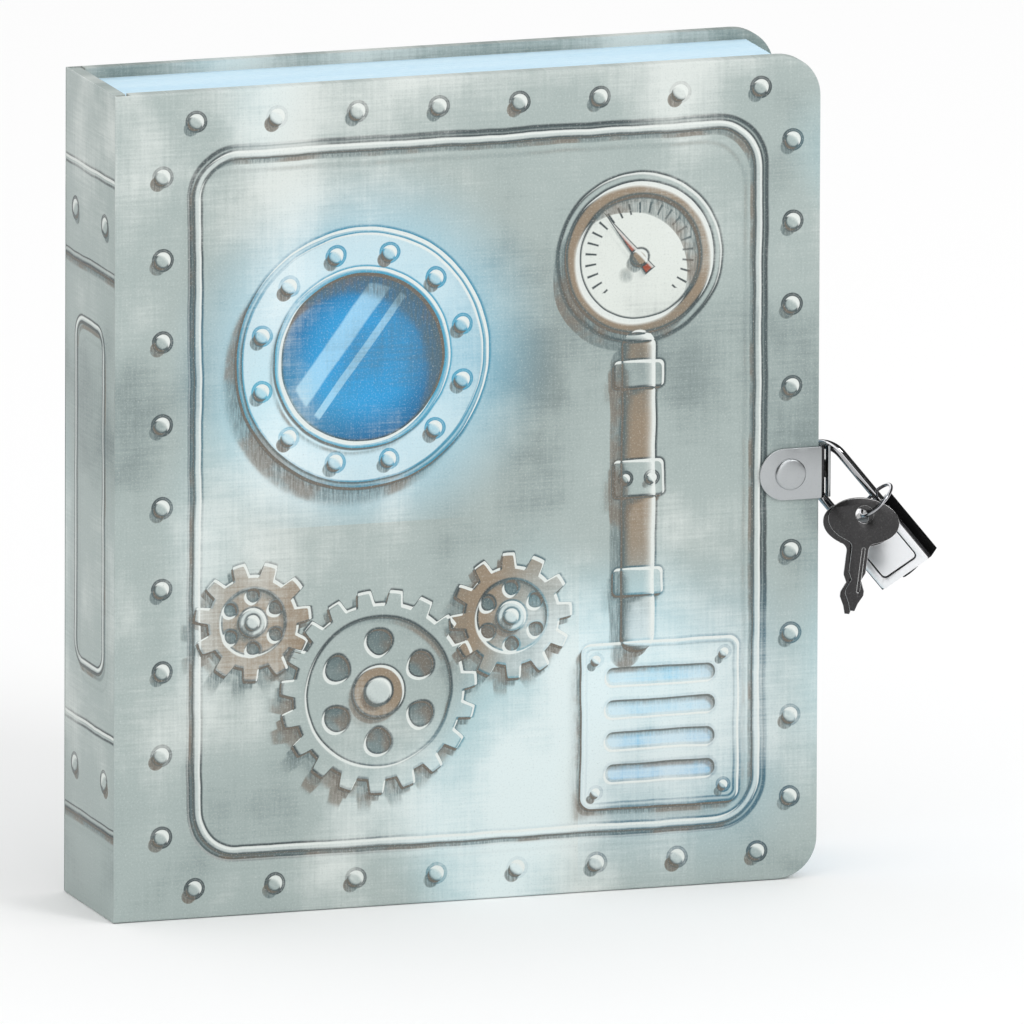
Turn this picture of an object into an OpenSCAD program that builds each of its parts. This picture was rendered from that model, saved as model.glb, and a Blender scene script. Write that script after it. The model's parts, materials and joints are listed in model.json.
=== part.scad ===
/* [Book] */
// Width of a cover, from the spine to the fore edge
cover_w = 140; // [110:1:180]
// Height of a cover
cover_h = 159; // [120:1:220]
// Thickness of the closed book over its two covers
book_t = 30.6; // [24:0.2:40]
// Thickness of a cover board
board_t = 2.2; // [1.6:0.1:3]
// Thickness of the printed wrap on the boards
wrap_t = 0.3; // [0.2:0.05:0.5]
// Width of the wrap folded over onto the inside of a board
turn_in = 13; // [8:1:20]
// Radius of the cover's corners at the fore edge
corner_r = 8; // [3:0.5:15]
// Thickness of one endpaper leaf
endpaper_t = 0.2; // [0.1:0.05:0.4]

/* [Pages] */
// How far the boards stand out past the head and the tail of the pages
square = 2.1; // [1.5:0.1:4]
// How far the boards stand out past the pages at the fore edge
fore_recess = 5.6; // [4.8:0.1:9]
// Number of sewn sections
sections = 13; // [9:2:17]
// Gap between neighbouring sections
section_gap = 0.06; // [0.04:0.01:0.1]
// Thickness of the cloth glued on the sections' backs
lining_t = 0.4; // [0.2:0.1:0.8]
// Height of a head band or tail band
band_h = 0.9; // [0.5:0.1:1.4]

/* [Hasp] */
// Height of a hasp strap
strap_h = 10; // [9:0.2:14]
// Thickness of a hasp strap
strap_t = 0.6; // [0.4:0.1:0.8]
// Length of the strap that lies on a cover
leaf_l = 12; // [10:0.05:20]
// How far the outer strap stands out past the fore edge
strap_out = 2.4; // [2.3:0.1:3]
// Height of the hasp's centre above the foot of the book
hasp_z = 78.4; // [50:0.1:100]
// Height of the neck that the shackle goes round
neck_h = 3.2; // [2.4:0.2:3.4]
// Diameter of a rivet's head
rivet_d = 6; // [5:0.2:8]
// Diameter of a rivet's shank
rivet_shank_d = 2.4; // [1.8:0.1:3]
// Distance from a rivet's centre to the fore edge
rivet_x = 5.9; // [4:0.05:8]

/* [Padlock] */
// Width of the padlock's case
case_w = 12.8; // [12.4:0.2:18]
// Height of the padlock's case
case_h = 14; // [12.6:0.2:20]
// Thickness of the padlock's case
case_t = 4.8; // [4.6:0.1:6]
// Thickness of each face plate of the case
plate_t = 0.5; // [0.4:0.05:0.8]
// Diameter of the shackle's wire
wire_d = 1.8; // [1.4:0.1:2]
// Distance between the two legs of the shackle
leg_gap = 9.2; // [8.8:0.1:10]
// Length of the shackle from the bend's centre to the case
leg_l = 11.7; // [11.5:0.1:16]
// Depth of the shackle's short leg in the case
short_in = 4.4; // [4.2:0.1:5]
// Diameter of the plug that the key turns
plug_d = 3; // [2.6:0.1:3.2]

/* [Keys] */
// Width of a key's bow
bow_w = 13.5; // [11:0.2:16]
// Height of a key's bow
bow_h = 8.8; // [8:0.2:11]
// Diameter of the hole in a key's bow
key_hole_d = 3.4; // [3.4:0.1:4]
// Thickness of a key
key_t = 0.8; // [0.6:0.05:1]
// Length of a key below its hole
key_l = 18.8; // [16:0.2:24]
// Width of a key's shank
shank_w = 3.2; // [3:0.1:4.6]
// Diameter of the wire of the key ring
ring_wire_d = 0.7; // [0.5:0.05:0.8]

/* [Hidden] */
// Facets on round pieces
$fn = 64;
// Clearance between a piece and the one it moves past
clear = 0.3;
// Radial clearance of a shaft or leg in its bore
run_fit = 0.08;
// Thickness of the paper folded inside a cover, under its endpaper
fold_t = 0.2;
// Outer face of the front cover
front_y = -book_t / 2;
// Thickness of a whole cover, from its wrap to its endpaper
cover_t = wrap_t + board_t + fold_t + endpaper_t;
// Fold of a flyleaf, just clear of the spine's board
fold_x = wrap_t + board_t + 0.1;
// Gap between a cover and its flyleaf, and between the flyleaf and the sections
leaf_gap = 0.2;
// Start of the boards past the spine's board
hinge_x = wrap_t + board_t + 0.5;
// Face of the lining that the sections are sewn to
back_x = wrap_t + board_t + lining_t;
// Play between a section that swings and the lining
swing_gap = 0.05;
// Half of the page block's thickness
block_y = book_t / 2 - cover_t - 2 * leaf_gap - endpaper_t;
// Thickness of one section and its gap
section_pitch = 2 * block_y / sections;
// Right end of the pages
page_x = cover_w - fore_recess;
// Number of sections that fan open with each cover
fan = 3;

// Gap between the two straps, which the front strap's tip needs as it swings out from under the other
slip = 0.6;
// Outer face of the back strap, which lies outside the front one
strap_x = cover_w + strap_out;
// Outer face of the front strap
front_strap_x = strap_x - strap_t - slip;
// Notch of the straps round the shackle, before and behind its centre
notch_front = 3.1;
notch_back = 4.6;
// Depth of the shackle's centre behind the front face
hang_depth = 4.8;
// Length of a strap's head past its notch
head_l = 1.5;
// Depth of the folded counterbore for a rivet's burr
burr_t = 0.4;
// Radius of a rivet's burr
burr_r = rivet_shank_d / 2 + 1.3;

// Place and turn of the padlock, which hangs aslant from the straps
hang = [strap_x + 0.2, front_y + hang_depth, hasp_z];
face_turn = -18.4;
hang_tilt = -39.5;
case_turn = -22;
// Top of the case below the centre of the shackle's bend
case_top = -leg_l;
case_foot = case_top - case_h;
wire_r = wire_d / 2;
leg_x = leg_gap / 2;
// Half thickness of the frame between the two face plates
frame_y = case_t / 2 - plate_t;
// Thickness of the frame's roof, and of its side walls
roof_t = 1.5;
side_t = 0.8;
// Depth and height of a latch's nose
nose = 0.45;
nose_h = 0.8;
// Depth and length of the notch in a leg
bite = 0.7;
bite_l = 2.3;
// Top of the notch below the case's top
bite_top = roof_t + 0.05;
latch_t = 1.6;
latch_l = 1.5;
// Height of the block in the foot of the frame that the plug turns in
plug_seat_h = 4.1;
plug_flange_t = 0.7;
// Radial step of the plug's flange over its seat
plug_flange = 0.3;
plug_top = case_top - roof_t - bite_l - 1.2;
// Depth of the long leg in the case
long_in = case_h - plug_seat_h - 1.3;

// Centre and turn of the key ring, seen along the face of the cover
ring_r = 3.9;
ring_at = [9.88, -3.9, -5.74];
ring_normal = [0.69, 0.18, -0.7];
// Place of the front key's hole, how far the back key hangs left of and below it, and its depth
key_at = [7.72, -7.9];
key_step = [1, 0.8];
key_back_y = -5.55;
key_pitch = key_t + 0.2;
// Lean of the keys from upright
key_lean = 7;

// Outline of a cover, square at the spine and round at the fore edge
module cover_outline(x0, inset) {
    r = corner_r - inset;
    hull() {
        translate([x0, inset]) square([1, cover_h - 2 * inset]);
        for (z = [inset + r, cover_h - inset - r])
            translate([cover_w - inset - r, z]) circle(r);
    }
}

// Upright sheet of an outline drawn in x and z, from y0 back to y0 + t
module upright(y0, t) {
    translate([0, y0 + t, 0]) rotate([90, 0, 0]) linear_extrude(t) children();
}

// Hole or pin along y at the rivet's place
module rivet_line(y0, y1, r) {
    translate([cover_w - rivet_x, y0, hasp_z]) rotate([-90, 0, 0]) cylinder(r = r, h = y1 - y0);
}

// The front cover's pieces are drawn here, and the back's are their mirror image
module half(back) {
    mirror([0, back ? 1 : 0, 0]) children();
}

module board(back) {
    color([0.62, 0.6, 0.55]) half(back) difference() {
        upright(front_y + wrap_t, board_t) cover_outline(hinge_x, wrap_t);
        rivet_line(front_y, front_y + cover_t, rivet_shank_d / 2);
        rivet_line(front_y + cover_t - burr_t, front_y + cover_t + 1, burr_r + clear / 3);
    }
}

module cover_wrap(back) {
    color([0.42, 0.5, 0.5]) half(back) difference() {
        upright(front_y, wrap_t + board_t + fold_t) cover_outline(0, 0);
        upright(front_y + wrap_t, board_t) cover_outline(hinge_x, wrap_t);
        upright(front_y + wrap_t, cover_t) cover_outline_hollow();
        translate([-1, front_y + wrap_t, -1]) cube([hinge_x + 1, cover_t, cover_h + 2]);
        rivet_line(front_y - 1, front_y + cover_t, rivet_shank_d / 2);
        rivet_line(front_y + cover_t - burr_t, front_y + cover_t + 1, burr_r + clear / 3);
    }
}

// Part of the inner face that the folded-over wrap leaves open
module cover_outline_hollow() {
    translate([hinge_x, turn_in]) square([cover_w - hinge_x - turn_in, cover_h - 2 * turn_in]);
}

module pastedown(back) {
    paper_y = front_y + cover_t - endpaper_t;
    color([0.86, 0.92, 0.95]) half(back) difference() {
        upright(paper_y, endpaper_t) translate([hinge_x, square])
            square([page_x - hinge_x, cover_h - 2 * square]);
        rivet_line(front_y, front_y + cover_t + 1, burr_r + clear / 3);
    }
}

module flyleaf(back) {
    color([0.86, 0.92, 0.95]) half(back)
        translate([fold_x, front_y + cover_t + leaf_gap, square])
            cube([page_x - fold_x, endpaper_t, cover_h - 2 * square]);
}

module spine_board() {
    color([0.62, 0.6, 0.55])
        translate([wrap_t, front_y + wrap_t + clear, wrap_t])
            cube([board_t, book_t - 2 * wrap_t - 2 * clear, cover_h - 2 * wrap_t]);
}

module spine_wrap() {
    gap = 0.05;
    depth = book_t - 2 * wrap_t - 2 * gap;
    inner = depth - 2 * clear + 2 * gap;
    color([0.36, 0.42, 0.4]) difference() {
        translate([0, -depth / 2, 0]) cube([wrap_t + board_t, depth, cover_h]);
        translate([wrap_t, -inner / 2, wrap_t]) cube([board_t + 1, inner, cover_h - 2 * wrap_t]);
        for (side = [-1, 1])
            translate([wrap_t, side > 0 ? inner / 2 - 1 : -inner / 2 - 1, -1])
                cube([board_t + 1, 2, cover_h + 2]);
    }
}

module spine_lining() {
    color([0.9, 0.9, 0.86])
        translate([wrap_t + board_t, -block_y, square])
            cube([lining_t, 2 * block_y, cover_h - 2 * square]);
}

// Folded band on the head or the tail of the sections
module end_band(z0) {
    fixed_y = block_y - fan * section_pitch;
    color([0.3, 0.5, 0.62])
        translate([back_x, -fixed_y, z0]) cube([1.4, 2 * fixed_y, band_h]);
}

module head_band() end_band(cover_h - square);

module tail_band() end_band(square - band_h);

// One sewn section of leaves, counted from the front; the outer ones swing
module section(i) {
    swings = i <= fan || i > sections - fan;
    x0 = back_x + (swings ? swing_gap : 0);
    color([0.82, 0.9, 0.95])
        translate([x0, -block_y + (i - 1) * section_pitch + section_gap / 2, square])
            cube([page_x - x0, section_pitch - section_gap, cover_h - 2 * square]);
}

// Leaf of a strap on a cover, round at its inner end
module strap_leaf(x_end) {
    leaf_x = cover_w - leaf_l;
    difference() {
        upright(front_y - strap_t, strap_t) union() {
            translate([leaf_x + strap_h / 2, hasp_z]) circle(d = strap_h);
            translate([leaf_x + strap_h / 2, hasp_z - strap_h / 2])
                square([x_end - leaf_x - strap_h / 2, strap_h]);
        }
        rivet_line(front_y - 2, front_y + 1, rivet_shank_d / 2);
    }
}

// Upright stretch of a strap along the fore edge, h high
module strap_wall(x0, y0, y1, h) {
    translate([x0, y0, hasp_z - h / 2]) cube([strap_t, y1 - y0, h]);
}

module front_hasp() {
    notch_0 = hang[1] - notch_front;
    notch_1 = hang[1] + notch_back;
    x0 = front_strap_x - strap_t;
    color([0.66, 0.69, 0.71]) union() {
        strap_leaf(front_strap_x);
        strap_wall(x0, front_y - strap_t, notch_0, strap_h);
        strap_wall(x0, notch_0, notch_1, neck_h);
        strap_wall(x0, notch_1, notch_1 + head_l, strap_h);
    }
}

module back_hasp() {
    notch_0 = hang[1] - notch_front;
    notch_1 = hang[1] + notch_back;
    x0 = strap_x - strap_t;
    color([0.66, 0.69, 0.71]) union() {
        mirror([0, 1, 0]) strap_leaf(strap_x);
        strap_wall(x0, notch_1, -front_y + strap_t, strap_h);
        strap_wall(x0, notch_0, notch_1, neck_h);
        strap_wall(x0, notch_0 - head_l, notch_0, strap_h);
    }
}

module rivet(back) {
    dome = 0.7;
    head_y = front_y - strap_t;
    // Ball whose cap is the head's dome
    ball_r = (pow(rivet_d / 2, 2) + dome * dome) / (2 * dome);
    color([0.78, 0.8, 0.82]) half(back) union() {
        translate([cover_w - rivet_x, head_y, hasp_z]) rotate([90, 0, 0]) rotate_extrude() intersection() {
            translate([0, dome - ball_r]) circle(ball_r);
            square([rivet_d / 2, dome]);
        }
        rivet_line(head_y, front_y + cover_t, rivet_shank_d / 2);
    }
}

module rivet_burr(back) {
    color([0.78, 0.8, 0.82]) half(back) difference() {
        rivet_line(front_y + cover_t - burr_t, front_y + cover_t, burr_r);
        rivet_line(front_y, front_y + cover_t + 1, rivet_shank_d / 2);
    }
}

// Puts pieces drawn round the shackle's bend in their place on the book
module on_padlock() {
    translate(hang) rotate([0, 0, face_turn]) rotate([0, hang_tilt, 0]) rotate([0, 0, case_turn])
        children();
}

module shackle_leg(side, depth) {
    end_z = case_top - depth;
    difference() {
        translate([side * leg_x, 0, end_z]) cylinder(r = wire_r, h = -end_z);
        translate([side > 0 ? leg_x - wire_r - 1 : -leg_x + wire_r - bite, -wire_r - 1,
            case_top - bite_top - bite_l])
            cube([bite + 1, wire_d + 2, bite_l]);
    }
}

module shackle() {
    color([0.8, 0.82, 0.84]) on_padlock() union() {
        rotate([90, 0, 0]) rotate_extrude(angle = 180) translate([leg_x, 0]) circle(wire_r, $fn = 32);
        shackle_leg(1, long_in);
        shackle_leg(-1, short_in);
    }
}

// Space inside the frame, open to both face plates
module frame_hollow() {
    hollow_h = case_h - roof_t - plug_seat_h;
    translate([-case_w / 2 + side_t, -frame_y - 1, case_foot + plug_seat_h])
        cube([case_w - 2 * side_t, 2 * frame_y + 2, hollow_h]);
}

module lock_frame() {
    color([0.2, 0.2, 0.21]) on_padlock() difference() {
        translate([-case_w / 2, -frame_y, case_foot]) cube([case_w, 2 * frame_y, case_h]);
        frame_hollow();
        // Bores of the legs, from the seat of the spring out through the roof
        for (side = [-1, 1])
            translate([side * leg_x, 0, case_foot + plug_seat_h])
                cylinder(r = wire_r + run_fit, h = case_h - plug_seat_h + 1);
        translate([0, 0, case_foot - 1]) cylinder(r = plug_d / 2 + run_fit, h = plug_seat_h + 2);
    }
}

// Face plate of the case with a shallow raised rim round its panel, set in from the frame's sides
module face_plate(side) {
    lip = 0.4;
    rim = 1.5;
    sink = plate_t * 0.3;
    plate_w = case_w - 2 * lip;
    y0 = side < 0 ? -case_t / 2 : frame_y;
    difference() {
        translate([-plate_w / 2, y0, case_foot]) cube([plate_w, plate_t, case_h]);
        translate([-plate_w / 2 + rim, side < 0 ? y0 - 1 : y0 + plate_t - sink, case_foot + rim])
            cube([plate_w - 2 * rim, 1 + (side < 0 ? sink : 0), case_h - 2 * rim]);
    }
}

module lock_front_plate() {
    color([0.85, 0.87, 0.89]) on_padlock() face_plate(-1);
}

module lock_back_plate() {
    color([0.85, 0.87, 0.89]) on_padlock() face_plate(1);
}

// Plate between a face plate and the latches, which keeps the latches level
module guide_plate(side) {
    gap = 0.1;
    t = frame_y - latch_t / 2 - gap;
    w = leg_gap - wire_d - 2 * clear;
    h = roof_t;
    translate([-w / 2, side < 0 ? -frame_y : latch_t / 2 + gap, case_top - roof_t - 2 * h])
        cube([w, t, 2 * h]);
}

module guide_plate_front() {
    color([0.6, 0.55, 0.4]) on_padlock() guide_plate(-1);
}

module guide_plate_back() {
    color([0.6, 0.55, 0.4]) on_padlock() guide_plate(1);
}

// Sliding latch whose nose sits in the notch of a leg
module latch(side) {
    tip = leg_x - wire_r + nose;
    z0 = case_top - bite_top - nose_h - 0.1;
    translate([side > 0 ? tip - latch_l : -tip, -latch_t / 2, z0]) cube([latch_l, latch_t, nose_h]);
}

module latch_left() {
    color([0.7, 0.6, 0.35]) on_padlock() latch(-1);
}

module latch_right() {
    color([0.7, 0.6, 0.35]) on_padlock() latch(1);
}

// Close-wound spring under the long leg
module shackle_spring() {
    coil_r = 0.15;
    space = case_h - plug_seat_h - long_in - 0.05;
    turns = floor(space / (2 * coil_r));
    color([0.5, 0.5, 0.5]) on_padlock()
        translate([leg_x, 0, case_foot + plug_seat_h]) difference() {
            cylinder(r = wire_r - 0.1, h = turns * 2 * coil_r);
            translate([0, 0, -1]) cylinder(r = wire_r - 0.1 - 2 * coil_r, h = space + 2);
        }
}

module key_plug() {
    seat_top = case_foot + plug_seat_h;
    slot_w = key_t + 0.2;
    color([0.72, 0.6, 0.35]) on_padlock() difference() {
        union() {
            translate([0, 0, case_foot]) cylinder(d = plug_d, h = plug_top - case_foot);
            translate([0, 0, seat_top + clear / 3])
                cylinder(r = plug_d / 2 + plug_flange, h = plug_flange_t);
        }
        translate([-slot_w / 2, -plug_d * 0.36, case_foot - 1]) cube([slot_w, plug_d * 0.72, 5]);
    }
}

// Round collar pressed into the case's foot round the plug's mouth
module key_plug_ring() {
    collar = 0.4;
    color([0.2, 0.2, 0.21]) on_padlock() translate([0, 0, case_foot - collar]) difference() {
        cylinder(r = plug_d / 2 + collar + run_fit, h = collar);
        translate([0, 0, -1]) cylinder(r = plug_d / 2 + run_fit, h = collar + 2);
    }
}

// Puts pieces drawn along the cover's turned view in their place beside the padlock
module beside_padlock() {
    translate(hang) rotate([0, 0, face_turn]) children();
}

module key_ring() {
    // Turns the ring's own axis from upright onto its normal
    tilt = acos(ring_normal[2] / norm(ring_normal));
    turn = atan2(ring_normal[1], ring_normal[0]);
    color([0.75, 0.77, 0.79]) beside_padlock() translate(ring_at) rotate([0, tilt, turn])
        rotate_extrude() translate([ring_r, 0]) circle(d = ring_wire_d, $fn = 24);
}

// Key drawn flat in x and z with its hole at the origin and its bit below
module key_shape() {
    bow_z = key_hole_d / 2 + 1.4 - bow_h / 2;
    // Round hollows where the bow runs into the shank
    flare_r = 1.5;
    flare_x = shank_w / 2 + flare_r;
    flare_z = bow_z - bow_h / 2 - 1.1;
    // Half widths and heights of the narrow neck, the bit and the tip
    neck_w = 0.9;
    bit_w = 1.75;
    tip_w = 0.45;
    shank_z = -key_l * 0.6;
    neck_z = -key_l * 0.68;
    bit_top = -key_l * 0.785;
    bit_z = -key_l * 0.83;
    bit_foot = -key_l * 0.92;
    difference() {
        union() {
            translate([0, bow_z]) scale([bow_w / bow_h, 1]) circle(d = bow_h);
            difference() {
                translate([-flare_x, flare_z]) square([2 * flare_x, bow_z - flare_z]);
                for (side = [-1, 1])
                    translate([side * flare_x, flare_z]) circle(flare_r);
            }
            translate([-shank_w / 2, shank_z]) square([shank_w, bow_z - shank_z]);
            polygon([[-shank_w / 2, shank_z + 1], [-shank_w / 2, shank_z], [-neck_w, neck_z],
                [-bit_w, bit_top], [-bit_w, bit_z], [-neck_w, bit_foot], [-tip_w, -key_l],
                [tip_w, -key_l], [neck_w, bit_foot], [bit_w, bit_z], [bit_w, bit_top],
                [neck_w, neck_z], [shank_w / 2, shank_z], [shank_w / 2, shank_z + 1]]);
        }
        circle(d = key_hole_d);
    }
}

module key(at, y0) {
    color([0.24, 0.24, 0.25]) beside_padlock() translate([at[0], 0, at[1]]) rotate([0, key_lean, 0])
        upright(y0 - key_t / 2, key_t) key_shape();
}

module key_front() key(key_at, key_back_y - key_pitch);

module key_back() key(key_at - key_step, key_back_y);

board(false);  // front_board
cover_wrap(false);  // front_cover_wrap
pastedown(false);  // front_pastedown
flyleaf(false);  // front_flyleaf
board(true);  // back_board
cover_wrap(true);  // back_cover_wrap
pastedown(true);  // back_pastedown
flyleaf(true);  // back_flyleaf
spine_board();
spine_wrap();
spine_lining();
head_band();
tail_band();
section(1);  // section_01
section(2);  // section_02
section(3);  // section_03
section(4);  // section_04
section(5);  // section_05
section(6);  // section_06
section(7);  // section_07
section(8);  // section_08
section(9);  // section_09
section(10);  // section_10
section(11);  // section_11
section(12);  // section_12
section(13);  // section_13
front_hasp();
rivet(false);  // front_rivet
rivet_burr(false);  // front_rivet_burr
back_hasp();
rivet(true);  // back_rivet
rivet_burr(true);  // back_rivet_burr
shackle();
lock_frame();
lock_front_plate();
lock_back_plate();
guide_plate_front();
guide_plate_back();
latch_left();
latch_right();
shackle_spring();
key_plug();
key_plug_ring();
key_ring();
key_front();
key_back();
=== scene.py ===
"""A hardcover diary with a printed steel-hatch cover, a riveted hasp, a small padlock and two keys."""

from __future__ import annotations

import json
import logging
import math
import random
from dataclasses import dataclass, field
from enum import Enum
from typing import Callable, Iterable

import bpy
from mathutils import Matrix, Vector

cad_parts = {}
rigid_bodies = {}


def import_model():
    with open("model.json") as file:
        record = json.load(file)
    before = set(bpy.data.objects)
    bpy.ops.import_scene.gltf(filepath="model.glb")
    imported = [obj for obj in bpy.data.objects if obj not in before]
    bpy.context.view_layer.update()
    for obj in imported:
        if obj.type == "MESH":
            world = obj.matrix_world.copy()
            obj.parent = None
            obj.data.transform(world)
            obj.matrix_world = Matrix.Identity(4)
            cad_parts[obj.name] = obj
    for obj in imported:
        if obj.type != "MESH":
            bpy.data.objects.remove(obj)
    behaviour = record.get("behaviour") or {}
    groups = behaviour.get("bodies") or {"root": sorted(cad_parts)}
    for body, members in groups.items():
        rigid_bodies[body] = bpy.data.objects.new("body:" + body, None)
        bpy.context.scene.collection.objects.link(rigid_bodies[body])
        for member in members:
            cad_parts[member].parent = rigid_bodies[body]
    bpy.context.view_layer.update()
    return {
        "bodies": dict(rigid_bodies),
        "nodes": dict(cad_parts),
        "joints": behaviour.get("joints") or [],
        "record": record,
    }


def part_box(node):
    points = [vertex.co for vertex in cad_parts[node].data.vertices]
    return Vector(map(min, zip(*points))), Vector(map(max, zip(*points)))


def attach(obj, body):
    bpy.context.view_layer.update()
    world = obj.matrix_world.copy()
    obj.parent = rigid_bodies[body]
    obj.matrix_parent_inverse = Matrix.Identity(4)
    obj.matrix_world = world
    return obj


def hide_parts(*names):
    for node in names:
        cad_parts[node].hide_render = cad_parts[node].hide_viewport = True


LOG = logging.getLogger("diary")
MM = 0.001

# How far a cutter runs past what it cuts, in millimetres
SPARE = 1.0

# Seams between the fields of the front picture, in millimetres, in plain parts of it
SEAM_X = 92.2
SEAM_Z = 74.0


class Side(Enum):
    """The two covers, by the sign of y on which each lies."""

    FRONT = -1
    BACK = 1


class Field(Enum):
    """Parts of the front picture, each a material of its own."""

    UPPER = 0
    LEFT = 1
    RIGHT = 2


@dataclass(frozen=True)
class Book:
    """Sizes and places that several sub-assemblies share, in millimetres and degrees."""

    width: float = 140
    height: float = 159
    face: float = 15.3
    hasp_z: float = 78.4
    rivet_x: float = 134.1
    shank: float = 1.2
    hang: tuple[float, float, float] = (142.6, -10.5, 78.4)
    hang_turn: float = -18.4


BOOK = Book()


# Modelling helpers


def deselect() -> None:
    """Leave object mode and drop the whole selection."""
    if bpy.context.object and bpy.context.object.mode != "OBJECT":
        bpy.ops.object.mode_set(mode="OBJECT")
    bpy.ops.object.select_all(action="DESELECT")


def activate(piece: bpy.types.Object) -> None:
    """Make a piece the only selected one and the active one.

    Args:
        piece: The object to work on.
    """
    deselect()
    piece.select_set(True)
    bpy.context.view_layer.objects.active = piece


def settle(piece: bpy.types.Object) -> None:
    """Put a piece's place, turn and scale into its mesh.

    Args:
        piece: The object to settle.
    """
    activate(piece)
    bpy.ops.object.transform_apply(location=True, rotation=True, scale=True)


def block(name: str, low: Iterable[float], high: Iterable[float]) -> bpy.types.Object:
    """Add a block between two corners given in millimetres.

    Args:
        name: The object's name.
        low: Lowest corner.
        high: Highest corner.

    Returns:
        The new block, settled.
    """
    lo, hi = Vector(low) * MM, Vector(high) * MM
    deselect()
    bpy.ops.mesh.primitive_cube_add(size=1, location=(lo + hi) / 2)
    piece = bpy.context.object
    piece.name = name
    piece.scale = hi - lo
    settle(piece)
    return piece


def pick(
    piece: bpy.types.Object,
    test: Callable[[Vector, Vector], bool],
    kind: str = "FACE",
) -> None:
    """Enter edit mode with only the faces or edges that pass a test selected.

    Args:
        piece: The object to edit.
        test: Says of a centre in millimetres, and a normal or an edge's direction, whether to take it.
        kind: FACE or EDGE.
    """
    activate(piece)
    bpy.ops.object.mode_set(mode="EDIT")
    bpy.ops.mesh.select_mode(type=kind)
    bpy.ops.mesh.select_all(action="DESELECT")
    bpy.ops.object.mode_set(mode="OBJECT")
    mesh = piece.data
    if kind == "FACE":
        for face in mesh.polygons:
            face.select = test(face.center / MM, face.normal)
    else:
        for edge in mesh.edges:
            a, b = (mesh.vertices[i].co for i in edge.vertices)
            edge.select = test((a + b) / 2 / MM, (b - a).normalized())
    bpy.ops.object.mode_set(mode="EDIT")


def edit_all(piece: bpy.types.Object) -> None:
    """Enter edit mode with the whole of a piece selected.

    Args:
        piece: The object to edit.
    """
    activate(piece)
    bpy.ops.object.mode_set(mode="EDIT")
    bpy.ops.mesh.select_all(action="SELECT")


def finish_edit() -> None:
    """Go back to object mode."""
    bpy.ops.object.mode_set(mode="OBJECT")


def along_y(centre: Vector, way: Vector) -> bool:
    """Say whether an edge runs along y, through the thickness of a plate."""
    return abs(way.y) > 0.9


def round_edges(
    piece: bpy.types.Object, test: Callable[[Vector, Vector], bool], radius: float, segments: int
) -> None:
    """Round the edges that pass a test.

    Args:
        piece: The object to round.
        test: Says of an edge's centre in millimetres and its direction whether to take it.
        radius: Radius of the round in millimetres.
        segments: Steps across the round.
    """
    pick(piece, test, "EDGE")
    bpy.ops.mesh.bevel(offset=radius * MM, segments=segments, affect="EDGES")
    finish_edit()


def draw_out(x: float = 0, y: float = 0, z: float = 0) -> None:
    """Extrude what is selected by a step given in millimetres."""
    bpy.ops.mesh.extrude_region_move(TRANSFORM_OT_translate={"value": (x * MM, y * MM, z * MM)})


def slice_at(
    piece: bpy.types.Object, point: tuple[float, float, float], normal: tuple[float, float, float]
) -> None:
    """Cut new edges across a piece along a plane.

    Args:
        piece: The object to slice.
        point: A point of the plane, in millimetres.
        normal: The plane's normal.
    """
    edit_all(piece)
    bpy.ops.mesh.bisect(plane_co=tuple(v * MM for v in point), plane_no=normal)
    finish_edit()


def bevel_all(
    piece: bpy.types.Object, width: float, segments: int = 3, angle: float = 35, slot: int = -1
) -> None:
    """Round a piece's sharp edges with an applied bevel modifier.

    Args:
        piece: The object to round.
        width: Width of the bevel in millimetres.
        segments: Steps across the bevel.
        angle: Least angle between faces, in degrees, that counts as sharp.
        slot: Material slot of the new faces, or -1 for that of the faces beside them.
    """
    activate(piece)
    mod = piece.modifiers.new("round", "BEVEL")
    mod.width = width * MM
    mod.segments = segments
    mod.limit_method = "ANGLE"
    mod.angle_limit = math.radians(angle)
    mod.use_clamp_overlap = True
    mod.material = slot
    bpy.ops.object.modifier_apply(modifier=mod.name)


def smooth(piece: bpy.types.Object, angle: float = 35) -> None:
    """Shade a piece smooth, but for its sharp edges.

    Args:
        piece: The object to shade.
        angle: Least angle in degrees that stays sharp.
    """
    activate(piece)
    bpy.ops.object.shade_smooth_by_angle(angle=math.radians(angle))


def outward(piece: bpy.types.Object, merge: float = 0.001) -> None:
    """Merge a piece's doubles and turn its faces outwards.

    Args:
        piece: The object to mend.
        merge: Distance in millimetres within which points are merged.
    """
    edit_all(piece)
    bpy.ops.mesh.remove_doubles(threshold=merge * MM)
    bpy.ops.mesh.normals_make_consistent(inside=False)
    finish_edit()


def join(pieces: list[bpy.types.Object], name: str) -> bpy.types.Object:
    """Join pieces into one object.

    Args:
        pieces: The objects, of which the first stays.
        name: Name of the joined object.

    Returns:
        The joined object.
    """
    deselect()
    for piece in pieces:
        piece.select_set(True)
    bpy.context.view_layer.objects.active = pieces[0]
    bpy.ops.object.join()
    pieces[0].name = name
    return pieces[0]


def merged_copy(node: bpy.types.Object, name: str) -> bpy.types.Object:
    """Copy a solid of the frame, with its loose triangles merged into faces.

    Args:
        node: The frame's object.
        name: Name of the copy.

    Returns:
        The copy.
    """
    piece = bpy.data.objects.new(name, node.data.copy())
    bpy.context.scene.collection.objects.link(piece)
    piece.data.materials.clear()
    outward(piece)
    edit_all(piece)
    bpy.ops.mesh.dissolve_limited(angle_limit=math.radians(2))
    finish_edit()
    return piece


def two_slots(piece: bpy.types.Object, finishes: Finishes, main: str, edge: str) -> None:
    """Give a piece a finish for its faces and one for its rounded edges.

    Args:
        piece: The object to dress.
        finishes: The materials.
        main: The slot of its faces.
        edge: The slot of its edges.
    """
    piece.data.materials.clear()
    piece.data.materials.append(finishes.slots[main])
    piece.data.materials.append(finishes.slots[edge])


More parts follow.
